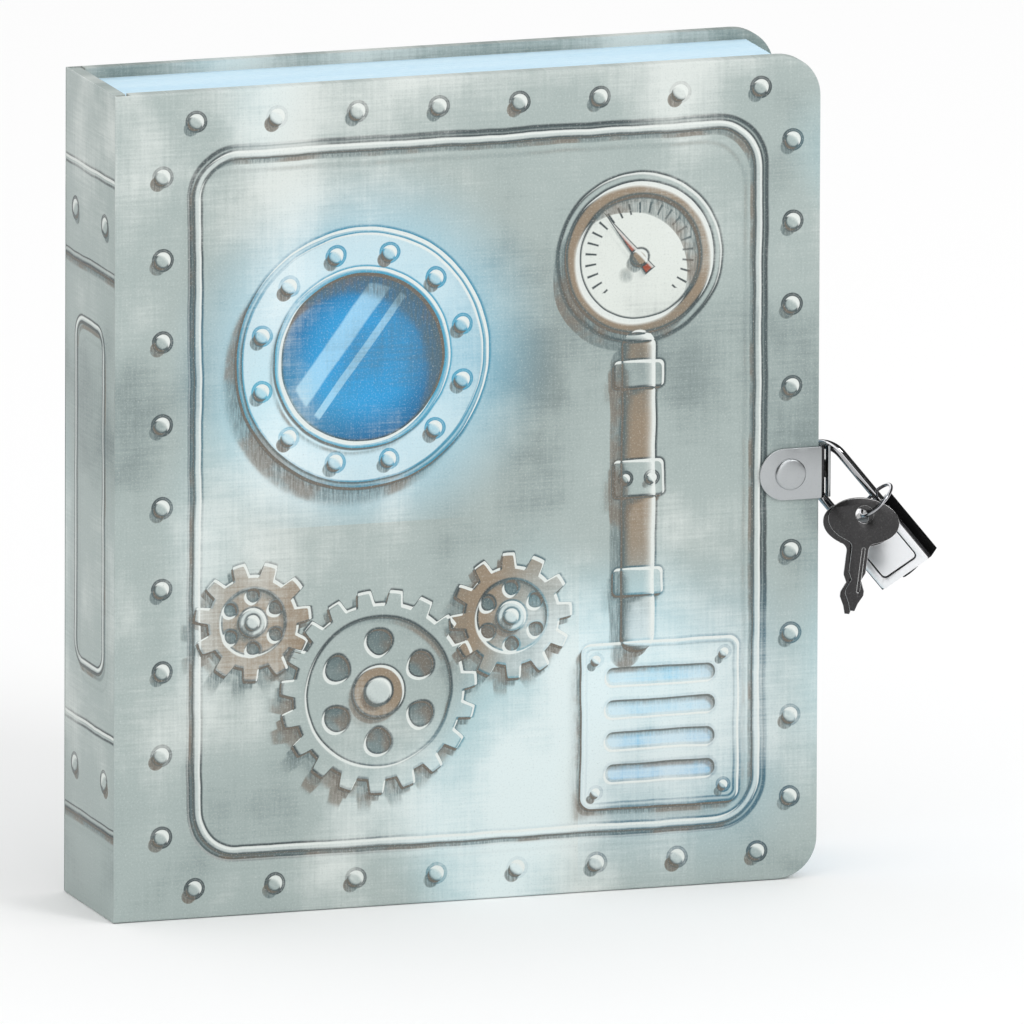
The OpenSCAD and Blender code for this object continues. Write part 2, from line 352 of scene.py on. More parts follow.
def place(
    piece: bpy.types.Object,
    material: bpy.types.Material | None,
    body: str,
    slot: str,
    *nodes: str,
) -> bpy.types.Object:
    """Dress a piece, tie it to its body and hide the solids that it stands for.

    Args:
        piece: The finished object.
        material: Its material, or None where it has its materials.
        body: The body that it moves with.
        slot: The record's material slot; not used.
        *nodes: The solids that it replaces.

    Returns:
        The piece.
    """
    if material:
        piece.data.materials.clear()
        piece.data.materials.append(material)
    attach(piece, body)
    if nodes:
        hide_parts(*nodes)
    LOG.info("%s rides on %s, %d faces", piece.name, body, len(piece.data.polygons))
    return piece


# Node helpers


class Net:
    """Adds nodes to one tree, so that a pattern reads as a formula."""

    def __init__(self, tree: bpy.types.NodeTree) -> None:
        """Start on a tree.

        Args:
            tree: The node tree to add to.
        """
        self.tree = tree

    def node(self, kind: str, **settings: object) -> bpy.types.Node:
        """Add a node.

        Args:
            kind: The node's type name.
            **settings: Properties to set on it.

        Returns:
            The new node.
        """
        made = self.tree.nodes.new(kind)
        for key, value in settings.items():
            setattr(made, key, value)
        return made

    def put(self, socket: bpy.types.NodeSocket, value: object) -> None:
        """Join a socket to another, or set its plain value.

        Args:
            socket: The input socket.
            value: An output socket or a plain value.
        """
        if isinstance(value, bpy.types.NodeSocket):
            self.tree.links.new(value, socket)
        else:
            socket.default_value = value

    def math(self, kind: str, *values: object) -> bpy.types.NodeSocket:
        """Add a Math node.

        Args:
            kind: The operation.
            *values: Its inputs.

        Returns:
            The result's socket.
        """
        made = self.node("ShaderNodeMath", operation=kind)
        for socket, value in zip(made.inputs, values):
            self.put(socket, value)
        return made.outputs[0]

    def add(self, a: object, b: object) -> bpy.types.NodeSocket:
        """Return a + b."""
        return self.math("ADD", a, b)

    def sub(self, a: object, b: object) -> bpy.types.NodeSocket:
        """Return a - b."""
        return self.math("SUBTRACT", a, b)

    def mul(self, a: object, b: object) -> bpy.types.NodeSocket:
        """Return a * b."""
        return self.math("MULTIPLY", a, b)

    def high(self, a: object, b: object) -> bpy.types.NodeSocket:
        """Return the larger of a and b."""
        return self.math("MAXIMUM", a, b)

    def low(self, a: object, b: object) -> bpy.types.NodeSocket:
        """Return the smaller of a and b."""
        return self.math("MINIMUM", a, b)

    def ramp(
        self, value: object, start: float, end: float, lo: float = 0, hi: float = 1
    ) -> bpy.types.NodeSocket:
        """Run smoothly from lo at start to hi at end.

        Args:
            value: The input.
            start: Where the run starts.
            end: Where it ends; it may be less than start.
            lo: Result before the start.
            hi: Result past the end.

        Returns:
            The result's socket.
        """
        if end < start:
            start, end, lo, hi = end, start, hi, lo
        return self.run(value, start, end, lo, hi)

    def run(self, value: object, start: object, end: object, lo: float, hi: float) -> bpy.types.NodeSocket:
        """Run smoothly between two inputs, either of which may be a socket.

        Args:
            value: The input.
            start: Where the run starts.
            end: Where it ends, more than start.
            lo: Result before the start.
            hi: Result past the end.

        Returns:
            The result's socket.
        """
        made = self.node("ShaderNodeMapRange", interpolation_type="SMOOTHSTEP", clamp=False)
        names = ("Value", "From Min", "From Max", "To Min", "To Max")
        for name, given in zip(names, (value, start, end, lo, hi)):
            self.put(made.inputs[name], given)
        return made.outputs[0]

    def blend(self, share: object, a: object, b: object, kind: str = "MIX") -> bpy.types.NodeSocket:
        """Mix two colours.

        Args:
            share: How much of b is taken.
            a: First colour.
            b: Second colour.
            kind: The blend mode.

        Returns:
            The mixed colour's socket.
        """
        made = self.node("ShaderNodeMix", data_type="RGBA", blend_type=kind)
        made.clamp_factor = True
        self.put(made.inputs[0], share)
        self.put(made.inputs[6], a)
        self.put(made.inputs[7], b)
        return made.outputs[2]

    def choose(self, share: object, a: object, b: object) -> bpy.types.NodeSocket:
        """Mix two numbers.

        Args:
            share: How much of b is taken.
            a: First number.
            b: Second number.

        Returns:
            The mixed number's socket.
        """
        made = self.node("ShaderNodeMix", data_type="FLOAT")
        self.put(made.inputs[0], share)
        self.put(made.inputs[2], a)
        self.put(made.inputs[3], b)
        return made.outputs[0]

    def vector(self, x: object, y: object, z: object) -> bpy.types.NodeSocket:
        """Combine three numbers into a vector.

        Args:
            x: The first number.
            y: The second number.
            z: The third number.

        Returns:
            The vector's socket.
        """
        made = self.node("ShaderNodeCombineXYZ")
        for socket, value in zip(made.inputs, (x, y, z)):
            self.put(socket, value)
        return made.outputs[0]

    def split(self, vector: bpy.types.NodeSocket) -> bpy.types.NodeOutputs:
        """Split a vector into its three numbers.

        Args:
            vector: The vector.

        Returns:
            The three sockets.
        """
        made = self.node("ShaderNodeSeparateXYZ")
        self.put(made.inputs[0], vector)
        return made.outputs

    def vectors(self, kind: str, *values: object) -> bpy.types.NodeOutputs:
        """Add a Vector Math node.

        Args:
            kind: The operation.
            *values: Its inputs.

        Returns:
            The node's outputs.
        """
        made = self.node("ShaderNodeVectorMath", operation=kind)
        for socket, value in zip(made.inputs, values):
            self.put(socket, value)
        return made.outputs

    def length(self, vector: object) -> bpy.types.NodeSocket:
        """Return a vector's length."""
        return self.vectors("LENGTH", vector)["Value"]

    def scaled(self, vector: object, factors: tuple[float, float, float]) -> bpy.types.NodeSocket:
        """Multiply a vector by three factors."""
        return self.vectors("MULTIPLY", vector, factors)["Vector"]

    def bump(self, shader: bpy.types.Node, height: object, strength: float, distance: float) -> None:
        """Give a shader a fine relief.

        Args:
            shader: The shader.
            height: The socket of the height.
            strength: Its strength.
            distance: Its depth in millimetres.
        """
        made = self.node("ShaderNodeBump")
        made.inputs["Strength"].default_value = strength
        made.inputs["Distance"].default_value = distance * MM
        self.put(made.inputs["Height"], height)
        self.put(shader.inputs["Normal"], made.outputs[0])

    def noise(
        self, vector: object, scale: float, detail: float = 3, rough: float = 0.55
    ) -> bpy.types.NodeSocket:
        """Add a noise texture.

        Args:
            vector: Where it is read.
            scale: Its scale.
            detail: Its detail.
            rough: Its roughness.

        Returns:
            The socket of its value.
        """
        made = self.node("ShaderNodeTexNoise")
        self.put(made.inputs["Vector"], vector)
        self.put(made.inputs["Scale"], scale)
        self.put(made.inputs["Detail"], detail)
        self.put(made.inputs["Roughness"], rough)
        return made.outputs[0]


def object_mm(net: Net) -> bpy.types.NodeSocket:
    """Read the object's own coordinates in millimetres.

    Args:
        net: The net to add to.

    Returns:
        The socket of the coordinates.
    """
    coords = net.node("ShaderNodeTexCoord")
    return net.scaled(coords.outputs["Object"], (1 / MM, 1 / MM, 1 / MM))


def new_group(name: str, inputs: dict[str, object], outputs: dict[str, str]) -> bpy.types.NodeTree:
    """Start a node group with named sockets.

    Args:
        name: The group's name.
        inputs: Each input's name, and its default or its socket type.
        outputs: Each output's name and socket type.

    Returns:
        The empty group.
    """
    tree = bpy.data.node_groups.new(name, "ShaderNodeTree")
    for key, value in inputs.items():
        kind = value if isinstance(value, str) else "NodeSocketFloat"
        socket = tree.interface.new_socket(key, in_out="INPUT", socket_type=kind)
        if not isinstance(value, str):
            socket.default_value = value
    for key, kind in outputs.items():
        tree.interface.new_socket(key, in_out="OUTPUT", socket_type=kind)
    return tree


def use_group(net: Net, tree: bpy.types.NodeTree, **values: object) -> bpy.types.NodeOutputs:
    """Place a node group and set its inputs.

    Args:
        net: The net to add to.
        tree: The group.
        **values: Inputs by name.

    Returns:
        The group's outputs.
    """
    made = net.node("ShaderNodeGroup", node_tree=tree)
    for key, value in values.items():
        net.put(made.inputs[key], value)
    return made.outputs


def new_material(name: str) -> tuple[bpy.types.Material, Net, bpy.types.Node]:
    """Start a material with one Principled shader.

    Args:
        name: The material's name.

    Returns:
        The material, its net and its shader.
    """
    material = bpy.data.materials.new(name)
    material.use_nodes = True
    net = Net(material.node_tree)
    shader = next(n for n in material.node_tree.nodes if n.type == "BSDF_PRINCIPLED")
    return material, net, shader


# The printed picture on the covers


@dataclass
class Picture:
    """A painted riveted steel hatch, drawn as layers of height and colour in the plane of a cover."""

    light: tuple[float, float] = (0.62, 0.78)
    ink: tuple[float, float, float, float] = (0.035, 0.05, 0.055, 1)
    steel: tuple[float, float, float, float] = (0.36, 0.425, 0.41, 1)
    pale: tuple[float, float, float, float] = (0.5, 0.56, 0.545, 1)
    deep: tuple[float, float, float, float] = (0.15, 0.2, 0.2, 1)
    dim: tuple[float, float, float, float] = (0.2, 0.26, 0.25, 1)
    sky: tuple[float, float, float, float] = (0.02, 0.3, 0.62, 1)
    night: tuple[float, float, float, float] = (0.005, 0.09, 0.22, 1)
    bronze: tuple[float, float, float, float] = (0.27, 0.21, 0.145, 1)
    dial: tuple[float, float, float, float] = (0.66, 0.7, 0.66, 1)
    needle: tuple[float, float, float, float] = (0.3, 0.06, 0.03, 1)
    streak: tuple[float, float, float, float] = (0.5, 0.8, 0.95, 1)
    middle: tuple[float, float] = (72, 79.5)
    rivet: float = 1.55
    rivet_x: tuple[float, float] = (9.4, 134.4)
    rivet_z: tuple[float, float] = (5.7, 153.3)
    glow_reach: float = 24
    least_corner: float = 0.8
    net: Net = field(init=False)
    x: bpy.types.NodeSocket = field(init=False)
    z: bpy.types.NodeSocket = field(init=False)
    point: bpy.types.NodeSocket = field(init=False)
    soft: bpy.types.NodeSocket = field(init=False)
    hard: bpy.types.NodeSocket = field(init=False)
    small: bpy.types.NodeSocket = field(init=False)
    height: object = field(init=False)
    colour: object = field(init=False)
    glow: object = field(init=False)

    # Distances from a shape's edge, in millimetres, less than 0 inside it

    def disc(self, x: float, z: float, radius: float) -> bpy.types.NodeSocket:
        """Return the distance from a disc's edge."""
        away = self.net.vectors("DISTANCE", self.point, (x, 0, z))["Value"]
        return self.net.sub(away, radius)

    def plate(
        self, x: float, z: float, half_x: float, half_z: float, corner: float = 0.0
    ) -> bpy.types.NodeSocket:
        """Return the distance from a rectangle's edge, outside it and out to its corner radius inside.

        Args:
            x: Middle of the rectangle across.
            z: Middle of the rectangle upwards.
            half_x: Half its width.
            half_z: Half its height.
            corner: Radius of its corners.

        Returns:
            The socket of the distance.
        """
        net = self.net
        near = max(corner, self.least_corner)
        at = net.vectors("SUBTRACT", self.point, (x, 0, z))["Vector"]
        at = net.vectors("ABSOLUTE", at)["Vector"]
        at = net.vectors("SUBTRACT", at, (half_x - near, 0, half_z - near))["Vector"]
        at = net.vectors("MAXIMUM", at, (0, -1, 0))["Vector"]
        return net.sub(net.length(at), near)

    def turned(self, x: float, z: float) -> tuple[bpy.types.NodeSocket, bpy.types.NodeSocket]:
        """Return the distance from a centre and the angle round it.

        Args:
            x: The centre across.
            z: The centre upwards.

        Returns:
            The sockets of the distance and of the angle in radians.
        """
        angle = self.net.math("ARCTAN2", self.net.sub(self.z, z), self.net.sub(self.x, x))
        return self.disc(x, z, 0), angle

    def share(self, angle: bpy.types.NodeSocket, count: int) -> bpy.types.NodeSocket:
        """Return how far an angle has run between two neighbours of a ring of copies, 0.5 at a copy.

        Args:
            angle: The angle in radians.
            count: Number of copies on the ring.

        Returns:
            The socket of the share, from 0 to 1.
        """
        # Five whole turns keep the angle above 0
        return self.net.math("FRACT", self.net.mul(self.net.add(angle, 10 * math.pi), count / (2 * math.pi)))

    def aligned(
        self, x: float, z: float, way: tuple[float, float]
    ) -> tuple[bpy.types.NodeSocket, bpy.types.NodeSocket]:
        """Return a point's place along and across a line.

        Args:
            x: The line's start across.
            z: The line's start upwards.
            way: The line's direction, one unit long.

        Returns:
            The sockets of the place along the line and across it.
        """
        net = self.net
        dx, dz = net.sub(self.x, x), net.sub(self.z, z)
        along = net.add(net.mul(dx, way[0]), net.mul(dz, way[1]))
        across = net.sub(net.mul(dz, way[0]), net.mul(dx, way[1]))
        return along, across

    def bolts(self, x: float, z: float, radius: float, count: int, size: float) -> bpy.types.NodeSocket:
        """Return the distance from the nearest of a ring of round bolts.

        Args:
            x: The ring's centre across.
            z: The ring's centre upwards.
            radius: The ring's radius.
            count: Number of bolts.
            size: A bolt's radius.

        Returns:
            The socket of the distance.
        """
        net = self.net
        away, angle = self.turned(x, z)
        along = net.mul(net.sub(self.share(angle, count), 0.5), 2 * math.pi * radius / count)
        across = net.sub(away, radius)
        return net.sub(net.length(net.vector(along, 0.0, across)), size)

    def cog(
        self, x: float, z: float, radius: float, count: int, depth: float, phase: float
    ) -> bpy.types.NodeSocket:
        """Return the distance from a toothed wheel's edge.

        Args:
            x: The wheel's centre across.
            z: The wheel's centre upwards.
            radius: Radius at the foot of the teeth.
            count: Number of teeth.
            depth: Height of a tooth.
            phase: Turn of the teeth, in radians.

        Returns:
            The socket of the distance.
        """
        net = self.net
        away, angle = self.turned(x, z)
        wave = net.math("SINE", net.add(net.mul(angle, count), phase))
        return net.sub(away, net.add(net.mul(net.ramp(wave, -0.45, 0.45), depth), radius))

    def row(
        self, x0: float, z0: float, x1: float, z1: float, count: int, size: float
    ) -> bpy.types.NodeSocket:
        """Return the distance from the nearest of a straight row of round rivets.

        Args:
            x0: The first rivet across.
            z0: The first rivet upwards.
            x1: The last rivet across.
            z1: The last rivet upwards.
            count: Number of rivets.
            size: A rivet's radius.

        Returns:
            The socket of the distance.
        """
        net = self.net
        length = math.hypot(x1 - x0, z1 - z0)
        along, across = self.aligned(x0, z0, ((x1 - x0) / length, (z1 - z0) / length))
        pitch = length / (count - 1)
        nearest = net.mul(net.math("ROUND", net.mul(along, 1 / pitch)), pitch)
        nearest = net.low(net.high(nearest, 0.0), length)
        return net.sub(net.length(net.vector(net.sub(along, nearest), 0.0, across)), size)

    # Layers

    def cover(self, dist: object) -> bpy.types.NodeSocket:
        """Return how far a shape covers a point, 1 inside its edge."""
        return self.net.run(dist, self.hard, self.soft, 1.0, 0.0)

    def lay(
        self,
        dist: object,
        rise: float,
        colour: tuple[float, float, float, float] | None = None,
        line: float = 0.22,
        dome: float = 0.0,
        shine: float = 0.0,
        fine: bool = False,
    ) -> None:
        """Lay a shape over what is there.

        Args:
            dist: Distance from the shape's edge.
            rise: How far it stands out, less than 0 for a recess.
            colour: Its colour, or None to keep what is under it.
            line: Half the width of the dark line round it.
            dome: How far inside its edge its surface still rises.
            shine: How much of the blue light it gives out.
            fine: Whether it is too small for a long shadow.
        """
        net = self.net
        mask = self.cover(dist)
        if dome:
            # A round top, as a quarter of a wave from the edge inwards
            share = net.low(net.high(net.mul(dist, -1 / dome), 0.0), 1.0)
            top = net.math("SQRT", net.mul(share, net.sub(2.0, share)))
            step = net.mul(top, rise)
            if fine:
                step = net.mul(step, self.small)
        else:
            step = net.mul(mask, rise)
        self.height = net.add(self.height, step)
        if colour:
            self.colour = net.blend(mask, self.colour, colour)
        if line:
            edge = net.ramp(net.math("ABSOLUTE", dist), line * 2.5, line * 0.7)
            self.colour = net.blend(net.mul(edge, 0.95), self.colour, self.ink)
        if shine:
            reach = net.mul(net.ramp(dist, self.glow_reach, 2), net.sub(shine, net.mul(mask, shine)))
            self.glow = net.high(self.glow, reach)

    def start(self, name: str) -> bpy.types.NodeTree:
        """Start the node group of one side's picture.

        Args:
            name: The group's name.

        Returns:
            The group.
        """
        tree = new_group(
            name,
            {"X": 0.0, "Z": 0.0, "Soft": 0.2, "Small": 1.0},
            {"Height": "NodeSocketFloat", "Colour": "NodeSocketColor", "Glow": "NodeSocketFloat"},
        )
        self.net = Net(tree)
        given = self.net.node("NodeGroupInput")
        self.x, self.z = given.outputs["X"], given.outputs["Z"]
        self.point = self.net.vector(self.x, 0.0, self.z)
        self.soft = given.outputs["Soft"]
        self.hard = self.net.mul(self.soft, -1.0)
        self.small = given.outputs["Small"]
        self.height, self.colour, self.glow = 0.0, self.steel, 0.0
        return tree

    def close(self) -> None:
        """Join the layers to the group's outputs."""
        made = self.net.node("NodeGroupOutput")
        for key, value in (("Height", self.height), ("Colour", self.colour), ("Glow", self.glow)):
            self.net.put(made.inputs[key], value)

    def rivets(self, dist: object, size: float) -> None:
        """Lay domed rivets, each on a thin washer.

        Args:
            dist: Distance from the rivets' edges.
            size: A rivet's radius.
        """
        self.lay(self.net.sub(dist, 0.45), 0.12, None, 0.1)
        self.lay(dist, 1.25, self.steel, 0.2, dome=size, fine=True)

    def border(self) -> None:
        """Draw the outer band, its raised bead and its rivets."""
        left, right = self.rivet_x
        foot, top = self.rivet_z
        bead = self.net.math("ABSOLUTE", self.plate(*self.middle, 55.6, 67.1, 8.4))
        self.lay(self.plate(*self.middle, 57.2, 68.7, 9.6), -0.25, None, 0.25)
        self.lay(self.net.sub(bead, 0.75), 0.7, self.pale, 0.22, dome=0.75)
        rows = (
            self.row(16, top, 128, top, 8, self.rivet),
            self.row(16, foot, 128, foot, 8, self.rivet),
            self.row(right, 16, right, 143, 9, self.rivet),
            self.row(left, 16, left, 143, 9, self.rivet),
        )
        near = rows[0]
        for other in rows[1:]:
            near = self.net.low(near, other)
        self.rivets(near, self.rivet)

    def porthole(self, x: float = 49, z: float = 106, radius: float = 25) -> None:
        """Draw a lit round window behind a bolted ring.

        Args:
            x: Its centre across.
            z: Its centre upwards.
            radius: The ring's radius.
        """
        net = self.net
        self.lay(self.disc(x, z, radius), 1.3, self.steel, 0.3)
        self.lay(self.disc(x, z, radius - 1.1), 0.5, self.pale, 0.18)
        self.rivets(self.bolts(x, z, radius - 4.5, 12, 1.5), 1.5)
        self.lay(self.disc(x, z, radius - 7.6), 0.7, self.steel, 0.22)
        self.lay(self.disc(x, z, radius - 8.8), -2.6, self.sky, 0.35, shine=1.0)
        # The glass: darker at its rim, with two slanting streaks of light
        glass = self.disc(x, z, radius - 9.2)
        self.colour = net.blend(
            net.mul(self.cover(glass), net.ramp(glass, -8, 0.5, 0, 0.8)), self.colour, self.night
        )
        slant = net.add(net.mul(net.sub(self.x, x), 0.8), net.mul(net.sub(self.z, z), -0.6))
        for at, wide in ((-5.5, 2.2), (-0.6, 0.8)):
            streak = net.ramp(net.math("ABSOLUTE", net.sub(slant, at)), wide, wide * 0.75)
            inside = net.ramp(glass, -1.2, -1.9)
            self.colour = net.blend(net.mul(net.mul(streak, inside), 0.55), self.colour, self.streak)

    def gauge(
        self,
        x: float = 104,
        z: float = 122,
        radius: float = 14.5,
        ticks: int = 30,
        lean: float = 128,
    ) -> None:
        """Draw a round gauge with plain ticks and a needle.

        Args:
            x: Its centre across.
            z: Its centre upwards.
            radius: Radius of its case.
            ticks: Number of ticks that a whole turn would have.
            lean: The needle's angle in degrees.
        """
        net = self.net
        self.lay(self.disc(x, z, radius + 1.8), 0.5, self.steel, 0.25)
        ring = net.sub(net.math("ABSOLUTE", self.disc(x, z, radius - 1.1)), 1.3)
        self.lay(ring, 1.5, self.bronze, 0.25, dome=1.3)
        self.lay(self.disc(x, z, radius - 2.6), -0.6, self.dial, 0.22)
        away, angle = self.turned(x, z)
        turn = self.share(angle, ticks)
        tick = net.sub(net.mul(net.math("ABSOLUTE", net.sub(turn, 0.5)), 2 * math.pi * 10 / ticks), 0.2)
        ring = net.sub(net.math("ABSOLUTE", net.sub(away, radius - 4.8)), 1.1)
        open_below = net.sub(z - 6.4, self.z)
        self.lay(net.high(net.high(tick, ring), open_below), 0.0, self.ink, 0)
        way = (math.cos(math.radians(lean)), math.sin(math.radians(lean)))
        along, across = self.aligned(x, z, way)
        across = net.math("ABSOLUTE", across)
        tip = net.sub(across, net.mul(net.sub(radius - 4.6, along), 0.075))
        self.lay(net.high(tip, net.sub(-3.4, along)), 0.35, self.needle, 0.1)
        self.lay(self.disc(x, z, 1.7), 0.9, self.bronze, 0.2, dome=1.7)

    def wheel(
        self, at: tuple[float, float], foot: float, teeth: int, phase: float, bronze: bool = False
    ) -> None:
        """Draw a toothed wheel with a sunk web and a hub.

        Args:
            at: The wheel's centre.
            foot: Radius at the foot of its teeth.
            teeth: Number of teeth.
            phase: Turn of its teeth.
            bronze: Whether it is of bronze.
        """
        x, z = at
        tone = self.bronze if bronze else self.steel
        self.lay(self.cog(x, z, foot, teeth, 2.5, phase), 1.2, tone, 0.26)
        self.lay(self.disc(x, z, foot - 2.6), -0.55, None, 0.22)
        self.lay(self.bolts(x, z, foot * 0.56, 6, foot * 0.15), -0.9, self.deep, 0.22)
        self.lay(self.disc(x, z, foot * 0.3), 0.7, self.bronze if not bronze else self.pale, 0.22)
        self.lay(self.disc(x, z, foot * 0.16), 1.0, self.pale, 0.2, dome=foot * 0.16, fine=True)

    def cogs(self) -> None:
        """Draw three meshed wheels."""
        self.wheel((27.5, 56.4), 9.0, 11, 0.4, bronze=True)
        self.wheel((52.5, 41.5), 17, 19, 0.3)
        self.wheel((78.8, 54.4), 9.6, 12, 1.0, bronze=True)

    def pipe(self, x: float = 104) -> None:
        """Draw an upright pipe with collars between the gauge and the vent.

        Args:
            x: Its middle across.
        """
        self.lay(self.plate(x, 77, 3.3, 31, 3.2), 2.4, self.bronze, 0.25, dome=3.2)
        for z, half in ((99.5, 2.6), (79.5, 3.6), (59.5, 2.6)):
            self.lay(self.plate(x, z, 5.0, half, 1.0), 0.9, self.steel, 0.25)
        self.rivets(self.row(x - 2.6, 79.5, x + 2.6, 79.5, 2, 1.0), 1.0)

    def louvre(self, slots: bool = True, x: float = 108.5, z: float = 32, half_x: float = 11.5) -> None:
        """Draw a plate with slots that are lit from behind.

        Args:
            slots: Whether to draw more than the plate.
            x: Its middle across.
            z: Its middle upwards.
            half_x: Half the width of its slots.
        """
        self.lay(self.plate(x, z, half_x + 4.2, 16, 2.2), 0.9, self.steel, 0.28)
        if not slots:
            return
        self.lay(self.plate(x, z, half_x + 3.2, 15, 1.5), -0.2, None, 0.14)
        for step in range(4):
            slot = self.plate(x, z + 9.3 - 6.2 * step, half_x - 0.6, 1.7, 1.6)
            self.lay(slot, -0.55, self.sky, 0.32, shine=0.4)
        left, right = x - half_x - 1.2, x + half_x + 1.2
        low = self.row(left, z - 12.8, right, z - 12.8, 2, 0.9)
        high = self.row(left, z + 12.8, right, z + 12.8, 2, 0.9)
        self.rivets(self.net.low(low, high), 0.9)

    def front(self, part: Field) -> bpy.types.NodeTree:
        """Draw one field of the front cover.

        Args:
            part: The field, which holds only the motifs that reach into it.

        Returns:
            The node group.
        """
        tree = self.start(f"front_picture_{part.name.lower()}")
        self.border()
        if part is Field.UPPER:
            self.porthole()
            self.pipe()
            self.gauge()
        elif part is Field.LEFT:
            self.louvre(slots=False)
            self.cogs()
        else:
            self.pipe()
            self.louvre()
        self.close()
        return tree

    def back(self) -> bpy.types.NodeTree:
        """Draw the plainer back cover.

        Returns:
            The node group.
        """
        tree = self.start("back_picture")
        self.colour = self.dim
        self.border()
        self.lay(self.plate(*self.middle, 40, 50, 5), 0.9, None, 0.28)
        self.lay(self.plate(*self.middle, 37.6, 47.6, 3.5), -0.4, None, 0.2)
        self.lay(self.disc(*self.middle, 17), 1.0, self.steel, 0.28)
        self.rivets(self.bolts(*self.middle, 13.2, 8, 1.5), self.rivet)
        self.lay(self.disc(*self.middle, 9.4), -1.4, self.sky, 0.3, shine=0.5)
        self.close()
        return tree

    def spine(self) -> bpy.types.NodeTree:
        """Draw the spine, whose width lies along y.

        Returns:
            The node group.
        """
        tree = self.start("spine_picture")
        foot, top = 26, 133
        for z in (foot, top):
            self.lay(self.plate(0, z, 19, 9.5), 0.9, self.steel, 0.28)
            self.lay(self.plate(0, z, 19, 8.3), -0.25, None, 0.14)
        low, high = self.row(-9, foot, 9, foot, 2, 1.7), self.row(-9, top, 9, top, 2, 1.7)
        self.rivets(self.net.low(low, high), 1.7)
        bead = self.net.math("ABSOLUTE", self.plate(0, self.middle[1], 8.4, 33, 4))
        self.lay(self.net.sub(bead, 0.6), 0.6, self.pale, 0.2, dome=0.6)
        self.close()
        return tree


# Finishes


@dataclass
class Pencil:
    """Textures of pencil and paint on a flat picture."""

    net: Net
    flat: bpy.types.NodeSocket
    grain: bpy.types.NodeSocket = field(init=False)
    strokes: bpy.types.NodeSocket = field(init=False)
    across: bpy.types.NodeSocket = field(init=False)
    down: bpy.types.NodeSocket = field(init=False)
    clouds: bpy.types.NodeSocket = field(init=False)
    blotch: bpy.types.NodeSocket = field(init=False)

    def __post_init__(self) -> None:
        """Add the paper's grain, slanting strokes, smears two ways, and clouds and blotches of tone."""
        net, flat = self.net, self.flat
        self.grain = net.noise(net.scaled(flat, (0.8, 1, 0.8)), 3.4, 4, 0.75)
        slanted = net.node("ShaderNodeMapping")
        net.put(slanted.inputs["Vector"], flat)
        slanted.inputs["Rotation"].default_value = (0, math.radians(24), 0)
        slanted.inputs["Scale"].default_value = (2.2, 1, 0.2)
        self.strokes = net.noise(slanted.outputs[0], 1.3, 3, 0.6)
        self.across = net.noise(net.scaled(flat, (0.07, 1, 1.8)), 1.1, 4, 0.65)
        self.down = net.noise(net.scaled(flat, (1.6, 1, 0.06)), 1.0, 4, 0.65)
        self.clouds = net.noise(net.scaled(flat, (1, 1, 0.8)), 0.019, 2, 0.5)
        self.blotch = net.noise(flat, 0.075, 5, 0.6)


